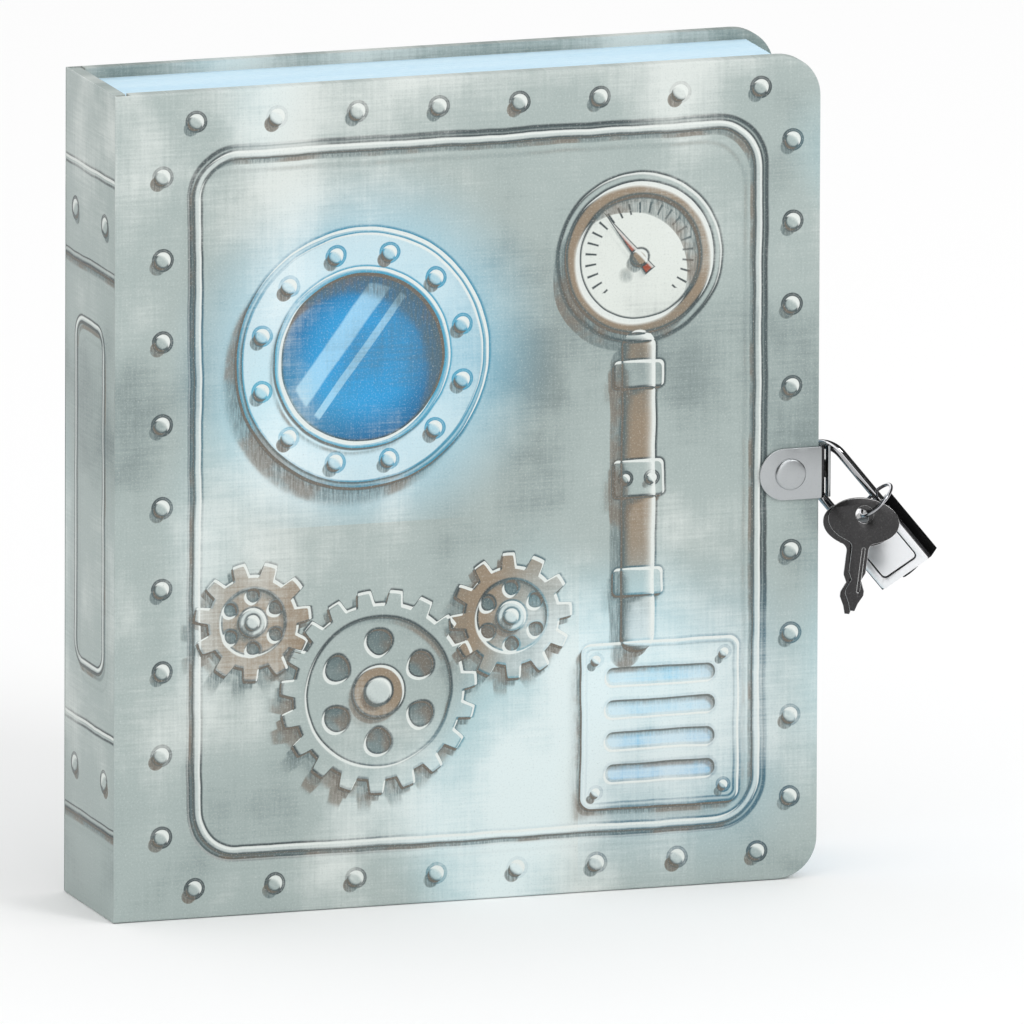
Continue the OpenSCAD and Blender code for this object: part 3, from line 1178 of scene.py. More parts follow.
@dataclass(frozen=True)
class PrintedWrap:
    """Paper-covered board, printed with a painted picture under a thin satin film."""

    glow: tuple[float, float, float, float] = (0.0, 0.3, 0.5, 1)
    haze: tuple[float, float, float, float] = (0.12, 0.36, 0.45, 1)
    brown: tuple[float, float, float, float] = (0.19, 0.12, 0.07, 1)
    shade: tuple[float, float, float, float] = (0.085, 0.125, 0.13, 1)
    lit: tuple[float, float, float, float] = (0.74, 0.78, 0.75, 1)
    waver: float = 0.8
    waver_scale: float = 0.09
    specular: float = 0.35

    def toned(
        self, net: Net, pencil: Pencil, colour: object, glow: bpy.types.NodeSocket
    ) -> bpy.types.NodeSocket:
        """Vary the flat colours with tone, and add the blue light and a pale haze.

        Args:
            net: The net to add to.
            pencil: The textures.
            colour: The picture's colour.
            glow: The picture's blue light.

        Returns:
            The socket of the colour.
        """
        tone = net.add(net.mul(net.sub(pencil.clouds, 0.46), 3.8), net.mul(net.sub(pencil.blotch, 0.5), 1.1))
        tone = net.add(tone, net.mul(net.sub(pencil.across, 0.5), 0.55))
        tone = net.add(tone, net.mul(net.sub(pencil.down, 0.5), 0.4))
        colour = net.blend(net.ramp(tone, 0.0, 0.8, 0, 0.75), colour, self.lit)
        colour = net.blend(net.ramp(tone, 0.0, -0.8, 0, 0.62), colour, self.shade)
        colour = net.blend(net.mul(glow, 0.85), colour, self.glow, "SCREEN")
        haze = net.ramp(net.noise(net.scaled(pencil.flat, (1, 1, 0.6)), 0.021, 1, 0.4), 0.52, 0.7)
        return net.blend(net.mul(haze, 0.7), colour, self.haze, "SCREEN")

    def shaded(
        self,
        net: Net,
        pencil: Pencil,
        colour: object,
        casts: tuple[bpy.types.NodeSocket, bpy.types.NodeSocket],
        slope: bpy.types.NodeSocket,
    ) -> bpy.types.NodeSocket:
        """Draw the shadows, the brown in them, both sides of each edge and the paper's tooth.

        Args:
            net: The net to add to.
            pencil: The textures.
            colour: The toned colour.
            casts: The short shadows and the long ones.
            slope: The rise towards the light.

        Returns:
            The socket of the colour.
        """
        cast, long_cast = casts
        hatch = net.ramp(pencil.strokes, 0.35, 0.62, 0.55, 1)
        dark = net.high(net.mul(cast, 0.85), net.mul(long_cast, 0.72))
        colour = net.blend(net.mul(dark, hatch), colour, self.shade)
        gathers = net.ramp(net.high(cast, long_cast), 0.15, 0.6)
        rust = net.mul(gathers, net.ramp(pencil.blotch, 0.46, 0.6))
        colour = net.blend(net.mul(rust, 0.5), colour, self.brown)
        colour = net.blend(net.mul(net.ramp(slope, -0.04, -0.55), 0.85), colour, self.shade)
        colour = net.blend(net.mul(net.ramp(slope, -0.3, -0.8), 0.5), colour, self.brown)
        colour = net.blend(net.mul(net.ramp(slope, 0.05, 0.5), 0.9), colour, self.lit)
        colour = net.blend(net.ramp(pencil.grain, 0.52, 0.78, 0, 0.35), colour, self.shade)
        return net.blend(net.ramp(pencil.grain, 0.48, 0.28, 0, 0.35), colour, self.lit)

    def make(
        self, name: str, picture: Picture, tree: bpy.types.NodeTree, turn: bool = False
    ) -> bpy.types.Material:
        """Make the wrap's material.

        Args:
            name: The material's name.
            picture: The picture's colours and light.
            tree: The picture's node group.
            turn: Whether the picture's width runs along y, as on the spine.

        Returns:
            The material.
        """
        material, net, shader = new_material(name)
        parts = net.split(object_mm(net))
        wide = parts[1] if turn else parts[0]
        flat = net.vector(wide, 0.0, parts[2])
        # A hand-drawn waver of the lines
        waver = net.node("ShaderNodeTexNoise")
        net.put(waver.inputs["Vector"], flat)
        net.put(waver.inputs["Scale"], self.waver_scale)
        net.put(waver.inputs["Detail"], 2.0)
        wave = net.split(waver.outputs["Color"])
        x = net.math("MULTIPLY_ADD", net.sub(wave[0], 0.5), self.waver, wide)
        z = net.math("MULTIPLY_ADD", net.sub(wave[1], 0.5), self.waver, parts[2])

        def read(reach: float, soft: float, small: float) -> bpy.types.NodeOutputs:
            """Read the picture a little towards its light."""
            near_x, near_z = net.add(x, picture.light[0] * reach), net.add(z, picture.light[1] * reach)
            return use_group(net, tree, X=near_x, Z=near_z, Soft=soft, Small=small)

        here, edge = read(0, 0.12, 1), read(0.55, 0.3, 1)
        close, far = read(1.7, 0.9, 1), read(4.2, 2.4, 0)
        slope = net.sub(here["Height"], edge["Height"])
        cast = net.ramp(net.sub(close["Height"], here["Height"]), 0.08, 0.9)
        long_cast = net.ramp(net.sub(far["Height"], here["Height"]), 0.25, 1.5)
        pencil = Pencil(net, flat)
        colour = self.toned(net, pencil, here["Colour"], here["Glow"])
        colour = self.shaded(net, pencil, colour, (cast, long_cast), slope)
        net.put(shader.inputs["Base Color"], colour)
        net.put(shader.inputs["Roughness"], net.ramp(pencil.blotch, 0.3, 0.7, 0.42, 0.52))
        shader.inputs["Specular IOR Level"].default_value = self.specular
        net.bump(shader, pencil.grain, 0.12, 0.05)
        return material


@dataclass(frozen=True)
class Sheet:
    """Paper, board or cloth with fibres."""

    name: str
    colour: tuple[float, float, float, float]
    other: tuple[float, float, float, float]
    scale: tuple[float, float, float] = (1, 1, 1)
    fibre: float = 2.5
    roughness: float = 0.85
    spread: float = 0.05
    specular: float = 0.25
    bump: float = 0.15

    def make(self) -> bpy.types.Material:
        """Make the sheet's material.

        Returns:
            The material.
        """
        material, net, shader = new_material(self.name)
        at = net.scaled(object_mm(net), self.scale)
        fibres = net.noise(at, self.fibre, 5, 0.65)
        clouds = net.noise(at, 0.05, 2)
        share = net.add(net.ramp(fibres, 0.3, 0.7, 0, 0.7), net.ramp(clouds, 0.35, 0.65, 0, 0.3))
        net.put(shader.inputs["Base Color"], net.blend(share, self.colour, self.other))
        rough = net.ramp(fibres, 0.3, 0.7, self.roughness - self.spread, self.roughness + self.spread)
        net.put(shader.inputs["Roughness"], rough)
        shader.inputs["Specular IOR Level"].default_value = self.specular
        net.bump(shader, fibres, self.bump, 0.1)
        return material


@dataclass(frozen=True)
class Metal:
    """Bare or plated metal with brushing, smudges and fine pits."""

    name: str
    colour: tuple[float, float, float, float]
    dull: tuple[float, float, float, float]
    low: float
    high: float
    brush: tuple[float, float, float] = (1, 1, 1)
    bump: float = 0.04

    def make(self) -> bpy.types.Material:
        """Make the metal's material.

        Returns:
            The material.
        """
        material, net, shader = new_material(self.name)
        at = object_mm(net)
        lines = net.noise(net.scaled(at, self.brush), 4.0, 4, 0.6)
        smudge = net.noise(at, 0.35, 3, 0.6)
        specks = net.ramp(net.noise(at, 3.2, 4, 0.7), 0.5, 0.72, 0, 0.8)
        net.put(shader.inputs["Base Color"], net.blend(specks, self.colour, self.dull))
        rough = net.choose(net.ramp(smudge, 0.35, 0.7), self.low, self.high)
        net.put(shader.inputs["Roughness"], net.add(rough, net.mul(net.sub(lines, 0.5), 0.06)))
        shader.inputs["Metallic"].default_value = 1.0
        net.bump(shader, lines, self.bump, 0.03)
        return material


@dataclass
class Finishes:
    """All the materials, made once."""

    front: list[bpy.types.Material] = field(init=False)
    back: bpy.types.Material = field(init=False)
    spine: bpy.types.Material = field(init=False)
    slots: dict[str, bpy.types.Material] = field(init=False)

    def __post_init__(self) -> None:
        """Make the printed wraps and the plain materials."""
        picture, wrap = Picture(), PrintedWrap()
        self.front = [
            wrap.make(f"front_print_{part.name.lower()}", picture, picture.front(part)) for part in Field
        ]
        self.back = wrap.make("back_print", picture, picture.back())
        self.spine = wrap.make("spine_print", picture, picture.spine(), turn=True)
        sheets = (
            Sheet("board", (0.33, 0.31, 0.27, 1), (0.42, 0.4, 0.36, 1), fibre=1.5, bump=0.4),
            Sheet("paper", (0.5, 0.72, 0.86, 1), (0.66, 0.83, 0.92, 1), (0.3, 3, 1), 1.6, roughness=0.8),
            Sheet("endpaper", (0.6, 0.78, 0.88, 1), (0.66, 0.82, 0.9, 1), fibre=3.0),
            Sheet("cloth", (0.7, 0.7, 0.66, 1), (0.8, 0.8, 0.77, 1), (1, 3, 1), 3.0, bump=0.5),
            Sheet("band", (0.08, 0.25, 0.42, 1), (0.6, 0.68, 0.72, 1), (1, 4, 0.3), 1.0, bump=0.5),
        )
        metals = (
            Metal("hasp_steel", (0.46, 0.48, 0.49, 1), (0.41, 0.43, 0.44, 1), 0.34, 0.44, (0.3, 3, 3)),
            # Near-black steel for the hasp's bend: painted shade
            Metal("bent_steel", (0.045, 0.045, 0.048, 1), (0.09, 0.09, 0.09, 1), 0.26, 0.36, (3, 3, 0.3)),
            Metal("chrome", (0.42, 0.42, 0.43, 1), (0.34, 0.34, 0.35, 1), 0.05, 0.1, bump=0.01),
            Metal("face_chrome", (0.95, 0.95, 0.965, 1), (0.93, 0.93, 0.945, 1), 0.33, 0.37, bump=0.0),
            Metal("dark_nickel", (0.03, 0.03, 0.032, 1), (0.06, 0.06, 0.06, 1), 0.2, 0.3),
            # Lighter nickel for the case's rounded edges: a painted highlight
            Metal("worn_nickel", (0.16, 0.16, 0.165, 1), (0.1, 0.1, 0.1, 1), 0.16, 0.26),
            Metal("key_steel", (0.055, 0.054, 0.055, 1), (0.1, 0.1, 0.1, 1), 0.22, 0.34),
            # Pale steel for the keys' rounded edges: a painted highlight
            Metal("worn_key", (0.75, 0.75, 0.75, 1), (0.5, 0.5, 0.5, 1), 0.14, 0.24),
            Metal("spring_steel", (0.4, 0.4, 0.42, 1), (0.3, 0.3, 0.3, 1), 0.14, 0.26),
            Metal("brass", (0.62, 0.45, 0.2, 1), (0.45, 0.3, 0.12, 1), 0.22, 0.36),
        )
        self.slots = {each.name: each.make() for each in (*sheets, *metals)}

    def dress_frame(self, frame: dict) -> None:
        """Give every solid of the frame the material of its slot.
        """
        for row in frame["record"]["subparts"]:
            data = frame["nodes"][row["node"]].data
            data.materials.clear()
            data.materials.append(self.slots.get(row["material_slot"], self.back))


# Sub-assemblies


def cut(piece: bpy.types.Object, cutter: bpy.types.Object) -> None:
    """Cut one piece out of another and drop the cutter.

    Args:
        piece: The object that is cut.
        cutter: The object that is cut out and deleted.
    """
    activate(piece)
    mod = piece.modifiers.new("cut", "BOOLEAN")
    mod.operation = "DIFFERENCE"
    mod.solver = "EXACT"
    mod.object = cutter
    bpy.ops.object.modifier_apply(modifier=mod.name)
    bpy.data.objects.remove(cutter)


def cylinder(
    name: str,
    start: Iterable[float],
    end: Iterable[float],
    radius: float,
    count: int = 48,
) -> bpy.types.Object:
    """Add a cylinder between two points given in millimetres.

    Args:
        name: The object's name.
        start: Centre of one end.
        end: Centre of the other end.
        radius: Its radius.
        count: Its number of sides.

    Returns:
        The cylinder, settled.
    """
    a, b = Vector(start) * MM, Vector(end) * MM
    deselect()
    bpy.ops.mesh.primitive_cylinder_add(
        vertices=count,
        radius=radius * MM,
        depth=(b - a).length,
        location=(a + b) / 2,
        rotation=(b - a).to_track_quat("Z", "Y").to_euler(),
    )
    piece = bpy.context.object
    piece.name = name
    settle(piece)
    return piece


def mirrored(piece: bpy.types.Object) -> bpy.types.Object:
    """Mirror a piece to the other side of the book, with its faces outwards.

    Args:
        piece: The object to mirror.

    Returns:
        The piece.
    """
    piece.scale = (1, -1, 1)
    settle(piece)
    outward(piece)
    return piece


@dataclass
class Cover:
    """The printed wrap of a cover, round its board."""

    side: Side
    width: float = BOOK.width
    height: float = BOOK.height
    face: float = BOOK.face
    wrap: float = 0.3
    depth: float = 2.7
    hinge: float = 3.0
    corner: float = 8
    corner_steps: int = 14
    edge: float = 0.45
    spine_edge: float = 0.28
    board: float = 2.2
    turn_in: float = 13.0
    burr: float = 2.6
    burr_depth: float = 2.5
    merge: float = 0.03

    def fields(self, piece: bpy.types.Object, finishes: Finishes) -> None:
        """Divide the wrap's faces among the fields of its picture.

        Args:
            piece: The wrap.
            finishes: The materials.
        """
        slice_at(piece, (SEAM_X, 0, 0), (1, 0, 0))
        slice_at(piece, (0, 0, SEAM_Z), (0, 0, 1))
        for material in finishes.front:
            piece.data.materials.append(material)
        for face in piece.data.polygons:
            at = face.center / MM
            side = Field.RIGHT if at.x > SEAM_X else Field.LEFT
            face.material_index = (Field.UPPER if at.z > SEAM_Z else side).value

    def at_fore_edge(self, centre: Vector, way: Vector) -> bool:
        """Say whether an edge runs through the cover's thickness at the fore edge."""
        return centre.x > self.width - 1 and along_y(centre, way)

    def panel(self) -> bpy.types.Object:
        """Model the printed wrap as a slab with round corners and a pocket for the board.

        Returns:
            The wrap.
        """
        outer, inner = -self.face, -self.face + self.wrap
        name = f"{self.side.name.lower()}_wrap"
        piece = block(name, (0, outer, 0), (self.width, outer + self.depth, self.height))
        round_edges(piece, self.at_fore_edge, self.corner, self.corner_steps)
        round_edges(piece, lambda c, d: c.y < outer + 0.01 and c.x > 0.01 and abs(d.y) < 0.5, self.edge, 4)
        round_edges(piece, lambda c, d: c.y < outer + 0.01 and c.x < 0.01, self.spine_edge, 3)
        # The gap at the hinge, the board's pocket and the opening between the turned-in edges
        start, past = self.hinge - SPARE, self.height + SPARE
        cut(piece, block("hinge_gap", (-SPARE, inner, -SPARE), (self.hinge, 0, past)))
        far_x, top = self.width - self.wrap, self.height - self.wrap
        pocket = block("pocket", (start, inner, self.wrap), (far_x, inner + self.board, top))
        round_edges(pocket, self.at_fore_edge, self.corner - self.wrap, self.corner_steps)
        cut(piece, pocket)
        far_x, top = self.width - self.turn_in, self.height - self.turn_in
        cut(piece, block("opening", (start, inner + SPARE, self.turn_in), (far_x, 0, top)))
        # The rivet's hole and the wider one of its burr
        x, z = BOOK.rivet_x, BOOK.hasp_z
        cut(piece, cylinder("shank_hole", (x, outer - SPARE, z), (x, 0, z), BOOK.shank))
        cut(piece, cylinder("burr_hole", (x, outer + self.burr_depth, z), (x, 0, z), self.burr))
        outward(piece, self.merge)
        if self.side is Side.BACK:
            mirrored(piece)
        smooth(piece, 30)
        return piece

    def build(self, finishes: Finishes) -> None:
        """Build the wrap and put it on its cover.

        Args:
            finishes: The materials.
        """
        side = self.side.name.lower()
        piece = self.panel()
        piece.data.materials.clear()
        if self.side is Side.FRONT:
            self.fields(piece, finishes)
        else:
            piece.data.materials.append(finishes.back)
        place(piece, None, f"{side}_cover", "printed_wrap", f"{side}_cover_wrap")


@dataclass
class Spine:
    """The printed wrap on the spine's board."""

    edge: float = 0.12

    def build(self, frame: dict, finishes: Finishes) -> None:
        """Round the spine's wrap and put it on the page block.

        Args:
            finishes: The materials.
        """
        piece = merged_copy(frame["nodes"]["spine_wrap"], "spine_wrap_print")
        bevel_all(piece, self.edge, 2)
        smooth(piece)
        place(piece, finishes.spine, "page_block", "printed_wrap", "spine_wrap")


@dataclass
class Pages:
    """The sewn sections, each of folded leaves."""

    count: int = 13
    fan: int = 3
    leaves: int = 8
    gap: float = 0.03
    fold: float = 0.5
    ragged: float = 0.22
    seed: int = 7

    def section(self, number: int, node: str, chance: random.Random) -> bpy.types.Object:
        """Model one section as a fold with leaves drawn out of it.

        Args:
            number: The section's number, from the front.
            node: Name of the frame's solid that it stands for.
            chance: The seeded source of the leaves' small differences.

        Returns:
            The section.
        """
        low, high = (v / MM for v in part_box(node))
        pitch = (high.y - low.y + self.gap) / self.leaves
        piece = block(f"section_{number:02d}_leaves", low, (low.x + self.fold, high.y, high.z))
        for step in range(1, self.leaves):
            for y in (low.y + step * pitch - self.gap, low.y + step * pitch):
                slice_at(piece, (0, y, 0), (0, 1, 0))
        for step in range(self.leaves):
            middle = low.y + (step + 0.5) * pitch - self.gap / 2
            pick(piece, lambda c, n: n.x > 0.9 and c.x < low.x + 1 and abs(c.y - middle) < pitch / 4)
            length = high.x - low.x - self.fold - chance.uniform(0, self.ragged)
            draw_out(x=length)
            finish_edit()
        outward(piece)
        return piece

    def build(self, finishes: Finishes) -> None:
        """Build every section.

        Args:
            finishes: The materials.
        """
        chance = random.Random(self.seed)
        for number in range(1, self.count + 1):
            swings = number <= self.fan or number > self.count - self.fan
            node = f"section_{number:02d}"
            body = f"pages_{number:02d}" if swings else "page_block"
            piece = self.section(number, node, chance)
            place(piece, finishes.slots["paper"], body, "paper", node)


@dataclass
class Hasp:
    """One bent strap of the hasp, with its rivet."""

    side: Side
    outer_x: float
    notch: tuple[float, float]
    end: float
    face: float = BOOK.face
    leaf_x: float = 128
    middle: float = BOOK.hasp_z
    tall: float = 10
    neck: float = 3.2
    thick: float = 0.6
    bend: float = 0.5
    bend_steps: int = 8
    round: float = 0.12
    rivet_x: float = BOOK.rivet_x
    head: float = 3.0
    head_side: float = 0.28
    dome: tuple[tuple[float, float], ...] = ((0.1, 0.12), (0.22, 0.1), (0.6, 0.08), (0.9, 0.06), (0.8, 0.02))
    shank_length: float = 2.9
    # Past this x the strap's faces are painted dark as the bend's shade
    painted_shade_x: float = 140.15

    def strap(self) -> bpy.types.Object:
        """Model the strap as a leaf that is bent round the fore edge and drawn on past it.

        Returns:
            The strap.
        """
        name = f"{self.side.name.lower()}_strap"
        bend_x = self.outer_x - self.thick - self.bend
        piece = block(
            name,
            (self.leaf_x, -self.face - self.thick, self.middle - self.tall / 2),
            (bend_x, -self.face, self.middle + self.tall / 2),
        )
        end = self.leaf_x + 0.1
        round_edges(piece, lambda c, d: c.x < end and along_y(c, d), self.tall / 2 - 0.01, 18)
        pick(piece, lambda c, n: n.x > 0.9 and c.x > bend_x - 0.1)
        for _ in range(self.bend_steps):
            draw_out()
            bpy.ops.transform.rotate(
                value=-math.radians(90) / self.bend_steps,
                orient_axis="Z",
                center_override=(bend_x * MM, (-self.face + self.bend) * MM, 0),
            )
        draw_out(y=self.end + self.face - self.bend)
        finish_edit()
        outward(piece)
        start, stop = self.notch
        for way in (-1, 1):
            z0, z1 = sorted((self.middle + way * self.neck / 2, self.middle + way * self.tall))
            cut(piece, block("notch", (bend_x, start, z0), (self.outer_x + SPARE, stop, z1)))
        outward(piece)
        bevel_all(piece, self.round, 3)
        x, z = self.rivet_x, self.middle
        cut(piece, cylinder("shank_hole", (x, -self.face - self.thick - SPARE, z), (x, 0, z), BOOK.shank))
        if self.side is Side.BACK:
            mirrored(piece)
        smooth(piece)
        return piece

    def rivet(self) -> bpy.types.Object:
        """Model the rivet's flat, slightly domed head on its shank.

        Returns:
            The rivet.
        """
        name = f"{self.side.name.lower()}_rivet_head"
        x, z, top = self.rivet_x, self.middle, -self.face - self.thick
        piece = cylinder(name, (x, top - self.head_side, z), (x, top, z), self.head, 64)
        pick(piece, lambda c, n: n.y < -0.9)
        for inset, rise in self.dome:
            bpy.ops.mesh.inset(thickness=inset * MM, depth=rise * MM)
        finish_edit()
        pick(piece, lambda c, n: n.y > 0.9)
        bpy.ops.mesh.inset(thickness=(self.head - BOOK.shank) * MM)
        draw_out(y=self.thick + self.shank_length)
        finish_edit()
        if self.side is Side.BACK:
            mirrored(piece)
        else:
            outward(piece)
        smooth(piece, 40)
        return piece

    def build(self, finishes: Finishes) -> None:
        """Build the strap and its rivet on their cover.

        Args:
            finishes: The materials.
        """
        side = self.side.name.lower()
        steel = finishes.slots["hasp_steel"]
        strap = self.strap()
        two_slots(strap, finishes, "hasp_steel", "bent_steel")
        # Painted shade: the faces round the bend and past it, all but those that face along y, take the
        # near-black steel
        for face in strap.data.polygons:
            face.material_index = int(face.center.x > self.painted_shade_x * MM and abs(face.normal.y) < 0.97)
        place(strap, None, f"{side}_cover", "hasp_steel", f"{side}_hasp")
        place(self.rivet(), steel, f"{side}_cover", "hasp_steel", f"{side}_rivet")


@dataclass
class Padlock:
    """The padlock, drawn about the centre of its shackle's bend and hung aslant on the straps."""

    hang: tuple[float, float, float] = BOOK.hang
    turns: tuple[float, float, float] = (BOOK.hang_turn, -39.5, -22.0)
    leg_x: float = 4.6
    wire: float = 0.9
    long_leg: float = 20.3
    short_leg: float = 16.1
    top: float = -11.7
    foot: float = -25.7
    half_x: float = 6.0
    half_y: float = 2.4
    plate: float = 0.5
    rim: float = 1.5
    sink: float = 0.15
    line: float = 0.32
    line_depth: float = 0.12
    corner: float = 0.7
    panel_corner: float = 1.1
    bite: tuple[float, float] = (2.7, 4.4)
    bite_top: float = 1.55
    bite_tall: float = 2.3

    def matrix(self) -> Matrix:
        """Return the turn and place of the padlock on the book."""
        face, tilt, case = (math.radians(a) for a in self.turns)
        return (
            Matrix.Translation(Vector(self.hang) * MM)
            @ Matrix.Rotation(face, 4, "Z")
            @ Matrix.Rotation(tilt, 4, "Y")
            @ Matrix.Rotation(case, 4, "Z")
        )

    def hung(self, piece: bpy.types.Object) -> bpy.types.Object:
        """Hang a piece that was drawn about the bend's centre.

        Args:
            piece: The object to hang.

        Returns:
            The piece.
        """
        piece.matrix_world = self.matrix()
        settle(piece)
        return piece

    def shackle(self) -> bpy.types.Object:
        """Model the shackle as a wire drawn up one leg, round the bend and down the other.

        Returns:
            The shackle.
        """
        deselect()
        bpy.ops.mesh.primitive_circle_add(
            vertices=32,
            radius=self.wire * MM,
            fill_type="NGON",
            location=(self.leg_x * MM, 0, -self.long_leg * MM),
        )
        piece = bpy.context.object
        piece.name = "shackle_wire"
        settle(piece)
        edit_all(piece)
        draw_out(z=self.long_leg)
        bpy.ops.mesh.spin(steps=40, angle=math.radians(180), center=(0, 0, 0), axis=(0, 1, 0))
        draw_out(z=-self.short_leg)
        finish_edit()
        outward(piece)
        # The latches' notches on the inside of both legs
        inner, outer = self.bite
        top = self.top - self.bite_top
        for low, high in ((inner, outer), (-outer, -inner)):
            cut(piece, block("bite", (low, -2, top - self.bite_tall), (high, 2, top)))
        smooth(piece, 40)
        return self.hung(piece)

    def slab(
        self, name: str, inset: float, near: float, far: float, corner: float, steps: int = 8
    ) -> bpy.types.Object:
        """Model a slab with round corners, drawn in from the case's outline.

        Args:
            name: The slab's name.
            inset: How far it is drawn in on each side.
            near: Its front in y.
            far: Its back in y.
            corner: Radius of its corners.
            steps: Steps across each corner.

        Returns:
            The slab.
        """
        side = self.half_x - inset
        piece = block(name, (-side, near, self.foot + inset), (side, far, self.top - inset))
        round_edges(piece, along_y, corner, steps)
        return piece

    def face(self, side: Side, finishes: Finishes) -> bpy.types.Object:
        """Model a face plate with round corners, a sunk panel and a groove round it that is painted dark as
        its shade.

        Args:
            side: Which face of the case.
            finishes: The materials.

        Returns:
            The plate.
        """
        outer = -self.half_y
        panel_y = outer + self.sink
        name = f"lock_{side.name.lower()}_face"
        piece = self.slab(name, 0, outer, outer + self.plate, self.corner, 6)
        cut(piece, self.slab("panel", self.rim, outer - SPARE, panel_y, self.panel_corner))
        outward(piece)
        bevel_all(piece, 0.07, 2)
        groove = self.slab("groove", self.rim, outer - SPARE, panel_y + self.line_depth, self.panel_corner)
        inset, corner = self.rim + self.line, self.panel_corner - self.line
        cut(groove, self.slab("core", inset, outer - 2 * SPARE, outer + SPARE, corner))
        cut(piece, groove)
        outward(piece)
        # Painted shade: the groove's floor and walls take the near-black nickel
        two_slots(piece, finishes, "face_chrome", "dark_nickel")
        for face in piece.data.polygons:
            deep = face.center.y / MM - outer
            inside = abs(face.center.x) / MM < self.half_x - self.rim + 0.02
            face.material_index = int(self.sink + 0.03 < deep < self.plate - 0.05 and inside)
        if side is Side.BACK:
            mirrored(piece)
        smooth(piece, 25)
        return self.hung(piece)

    def build(self, frame: dict, finishes: Finishes) -> None:
        """Build the shackle and the case.

        Args:
            finishes: The materials.
        """
        chrome = finishes.slots["chrome"]
        place(self.shackle(), chrome, "shackle", "chrome", "shackle")
        for side in Side:
            name = f"lock_{side.name.lower()}_plate"
            place(self.face(side, finishes), None, "lock_case", "chrome", name)
        case = merged_copy(frame["nodes"]["lock_frame"], "lock_case_frame")
        # Painted highlight: the rounded edges take the lighter nickel
        two_slots(case, finishes, "dark_nickel", "worn_nickel")
        bevel_all(case, 0.06, 2, slot=1)
        smooth(case)
        place(case, None, "lock_case", "dark_nickel", "lock_frame")


@dataclass
class Keys:
    """The wire ring and the two keys on it."""

    hang: tuple[float, float, float] = BOOK.hang
    turn: float = BOOK.hang_turn
    ring_r: float = 3.9
    ring_wire: float = 0.35
    ring_at: tuple[float, float, float] = (9.88, -3.9, -5.74)
    ring_normal: tuple[float, float, float] = (0.69, 0.18, -0.7)
    ring_turn: float = 357
    holes: tuple[tuple[str, tuple[float, float, float]], ...] = (
        ("key_front", (7.72, -6.55, -7.9)),
        ("key_back", (6.72, -5.55, -8.7)),
    )
    thick: float = 0.8
    lean: float = 7
    groove: float = 0.2
    groove_wide: float = 0.6
    groove_x: tuple[float, float] = (0.35, -0.95)
    groove_z: tuple[float, float] = (-15.2, -6.4)

    def matrix(self) -> Matrix:
        """Return the turn and place of what hangs beside the padlock."""
        return Matrix.Translation(Vector(self.hang) * MM) @ Matrix.Rotation(math.radians(self.turn), 4, "Z")

    def ring(self) -> bpy.types.Object:
        """Model the ring as a wire spun round to a narrow slit.

        Returns:
            The ring.
        """
        deselect()
        bpy.ops.mesh.primitive_circle_add(
            vertices=20,
            radius=self.ring_wire * MM,
            fill_type="NGON",
            location=(self.ring_r * MM, 0, 0),
            rotation=(math.radians(90), 0, 0),
        )
        piece = bpy.context.object
        piece.name = "key_ring_wire"
        settle(piece)
        edit_all(piece)
        bpy.ops.mesh.spin(steps=72, angle=math.radians(self.ring_turn), center=(0, 0, 0), axis=(0, 0, 1))
        finish_edit()
        outward(piece)
        normal = Vector(self.ring_normal)
        piece.matrix_world = (
            self.matrix()
            @ Matrix.Translation(Vector(self.ring_at) * MM)
            @ Matrix.Rotation(math.atan2(normal.y, normal.x), 4, "Z")
            @ Matrix.Rotation(math.acos(normal.z / normal.length), 4, "Y")
        )
        settle(piece)
        smooth(piece, 40)
        return piece

    def cutter(self, x: float, y: float) -> bpy.types.Object:
        """Model the round-ended cutter of a groove in one face of a key that hangs at the origin.

        Args:
            x: The groove's left side.
            y: The face that it sinks into, less than 0 for the front one.

        Returns:
            The cutter.
        """
        deep = self.groove if y < 0 else -self.groove
        near, far = sorted((y + deep, y - deep * 3))
        foot, top = self.groove_z
        piece = block("groove", (x, near, foot), (x + self.groove_wide, far, top))
        round_edges(piece, along_y, self.groove_wide / 2 - 0.01, 6)
        return piece

    def hung(self, piece: bpy.types.Object, hole: tuple[float, float, float]) -> bpy.types.Object:
        """Hang a key, or its cutter, by its hole.

        Args:
            piece: The object, drawn with the hole at the origin.
            hole: Middle of the key's hole.

        Returns:
            The piece.
        """
        piece.matrix_world = (
            self.matrix()
            @ Matrix.Translation(Vector(hole) * MM)
            @ Matrix.Rotation(math.radians(self.lean), 4, "Y")
        )
        settle(piece)
        return piece

    def key(self, node: bpy.types.Object, name: str, hole: tuple[float, float, float]) -> bpy.types.Object:
        """Model a key: its outline from the frame, and a milled groove on each side of the shank.

        Args:
            node: The frame's key.
            name: Name of the piece.
            hole: Middle of its hole.

        Returns:
            The key.
        """
        piece = merged_copy(node, name)
        for x, y in zip(self.groove_x, (-self.thick / 2, self.thick / 2)):
            cut(piece, self.hung(self.cutter(x, y), hole))
        return piece

    def build(self, frame: dict, finishes: Finishes) -> None:
        """Build the ring and the keys.

        Args:
            finishes: The materials.
        """
        place(self.ring(), finishes.slots["spring_steel"], "key_ring", "spring_steel", "key_ring")
        for node, hole in self.holes:
            piece = self.key(frame["nodes"][node], f"{node}_cut", hole)
            # Painted highlight: the rounded edges take the pale steel
            two_slots(piece, finishes, "key_steel", "worn_key")
            bevel_all(piece, 0.13, 2, slot=1)
            smooth(piece)
            place(piece, None, node, "key_steel", node)


# Studio


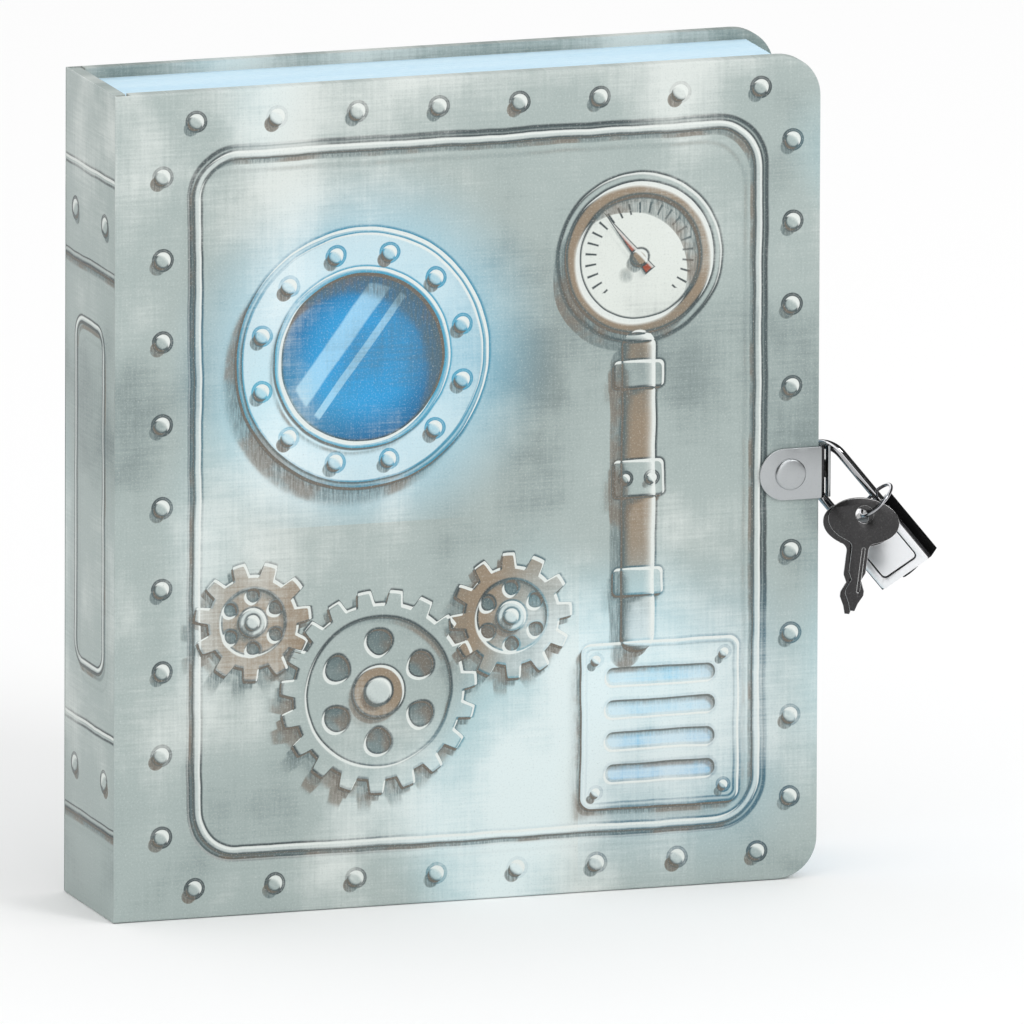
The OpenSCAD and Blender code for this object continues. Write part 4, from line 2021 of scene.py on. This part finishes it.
@dataclass
class Studio:
    """The floor, the soft lights and the camera."""

    look_at: tuple[float, float, float] = (83.909, 0, 71.057)
    azimuth: float = -18.397
    elevation: float = 11.807
    roll: float = 0.23
    distance: float = 8483
    lens: float = 1577
    ambient: float = 0.985
    room: float = 0.05
    window: float = 2.2
    window_x: float = -0.1

    def camera(self) -> None:
        """Set up the camera at the photograph's angle."""
        az, el = math.radians(self.azimuth), math.radians(self.elevation)
        back = Vector((math.sin(az) * math.cos(el), -math.cos(az) * math.cos(el), math.sin(el)))
        data = bpy.data.cameras.new("view")
        data.lens, data.sensor_width = self.lens, 36
        data.clip_start, data.clip_end = 0.1, 40
        camera = bpy.data.objects.new("view", data)
        bpy.context.scene.collection.objects.link(camera)
        camera.location = (Vector(self.look_at) + back * self.distance) * MM
        turn = (-back).to_track_quat("-Z", "Y").to_matrix().to_4x4()
        turn = turn @ Matrix.Rotation(math.radians(self.roll), 4, "Z")
        camera.rotation_euler = turn.to_euler()
        bpy.context.scene.camera = camera

    def floor(self) -> None:
        """Lay a plain pale floor."""
        deselect()
        bpy.ops.mesh.primitive_plane_add(size=16, location=(0, 0, -0.0001))
        floor = bpy.context.object
        floor.name = "floor"
        material, _, shader = new_material("floor")
        shader.inputs["Base Color"].default_value = (0.93, 0.93, 0.93, 1)
        shader.inputs["Roughness"].default_value = 0.9
        shader.inputs["Specular IOR Level"].default_value = 0.0
        floor.data.materials.append(material)

    def light(self, name: str, place_m: tuple[float, float, float], size: float, power: float) -> None:
        """Add a soft square light that faces the book.

        Args:
            name: The light's name.
            place_m: Where it stands, in metres.
            size: Its side in metres.
            power: Its power in watts.
        """
        data = bpy.data.lights.new(name, "AREA")
        data.shape, data.size, data.energy = "SQUARE", size, power
        light = bpy.data.objects.new(name, data)
        bpy.context.scene.collection.objects.link(light)
        light.location = place_m
        aim = Vector((0.08, 0, 0.07)) - Vector(place_m)
        light.rotation_euler = aim.to_track_quat("-Z", "Y").to_euler()

    def world(self) -> None:
        """Surround the book with a pale room."""
        world = bpy.data.worlds.new("room")
        bpy.context.scene.world = world
        world.use_nodes = True
        net = Net(world.node_tree)
        shade = next(n for n in world.node_tree.nodes if n.type == "BACKGROUND")
        coords = net.node("ShaderNodeTexCoord")
        away = net.split(coords.outputs["Generated"])
        # What polished metal mirrors: a dim room with one tall bright window on each side
        window = net.ramp(net.math("ABSOLUTE", net.sub(away[0], self.window_x)), 0.3, 0.16)
        band = net.mul(window, net.ramp(away[2], -0.05, 0.1))
        mirrored_room = net.choose(band, self.room, self.window)
        path = net.node("ShaderNodeLightPath")
        strength = net.choose(path.outputs["Is Glossy Ray"], self.ambient, mirrored_room)
        net.put(shade.inputs["Strength"], strength)
        shade.inputs["Color"].default_value = (1, 1, 1, 1)

    def build(self) -> None:
        """Build the studio."""
        self.camera()
        self.floor()
        self.world()
        self.light("key", (1.1, -1.7, 1.5), size=0.7, power=13)
        view = bpy.context.scene.view_settings
        view.view_transform, view.look = "Standard", "None"
        view.exposure, view.gamma = 0.0, 1.0


def main() -> None:
    """Build the diary in its frame."""
    logging.basicConfig(level=logging.INFO, format="%(name)s: %(message)s")
    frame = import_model()
    deselect()
    Studio().build()
    finishes = Finishes()
    finishes.dress_frame(frame)
    for side in Side:
        Cover(side).build(finishes)
    Spine().build(frame, finishes)
    Pages().build(finishes)
    Hasp(Side.FRONT, outer_x=141.2, notch=(-13.6, -5.9), end=-4.4).build(finishes)
    Hasp(Side.BACK, outer_x=142.4, notch=(5.9, 13.6), end=15.1).build(finishes)
    Padlock().build(frame, finishes)
    Keys().build(frame, finishes)
    deselect()
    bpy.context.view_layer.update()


if __name__ == "__main__":
    main()
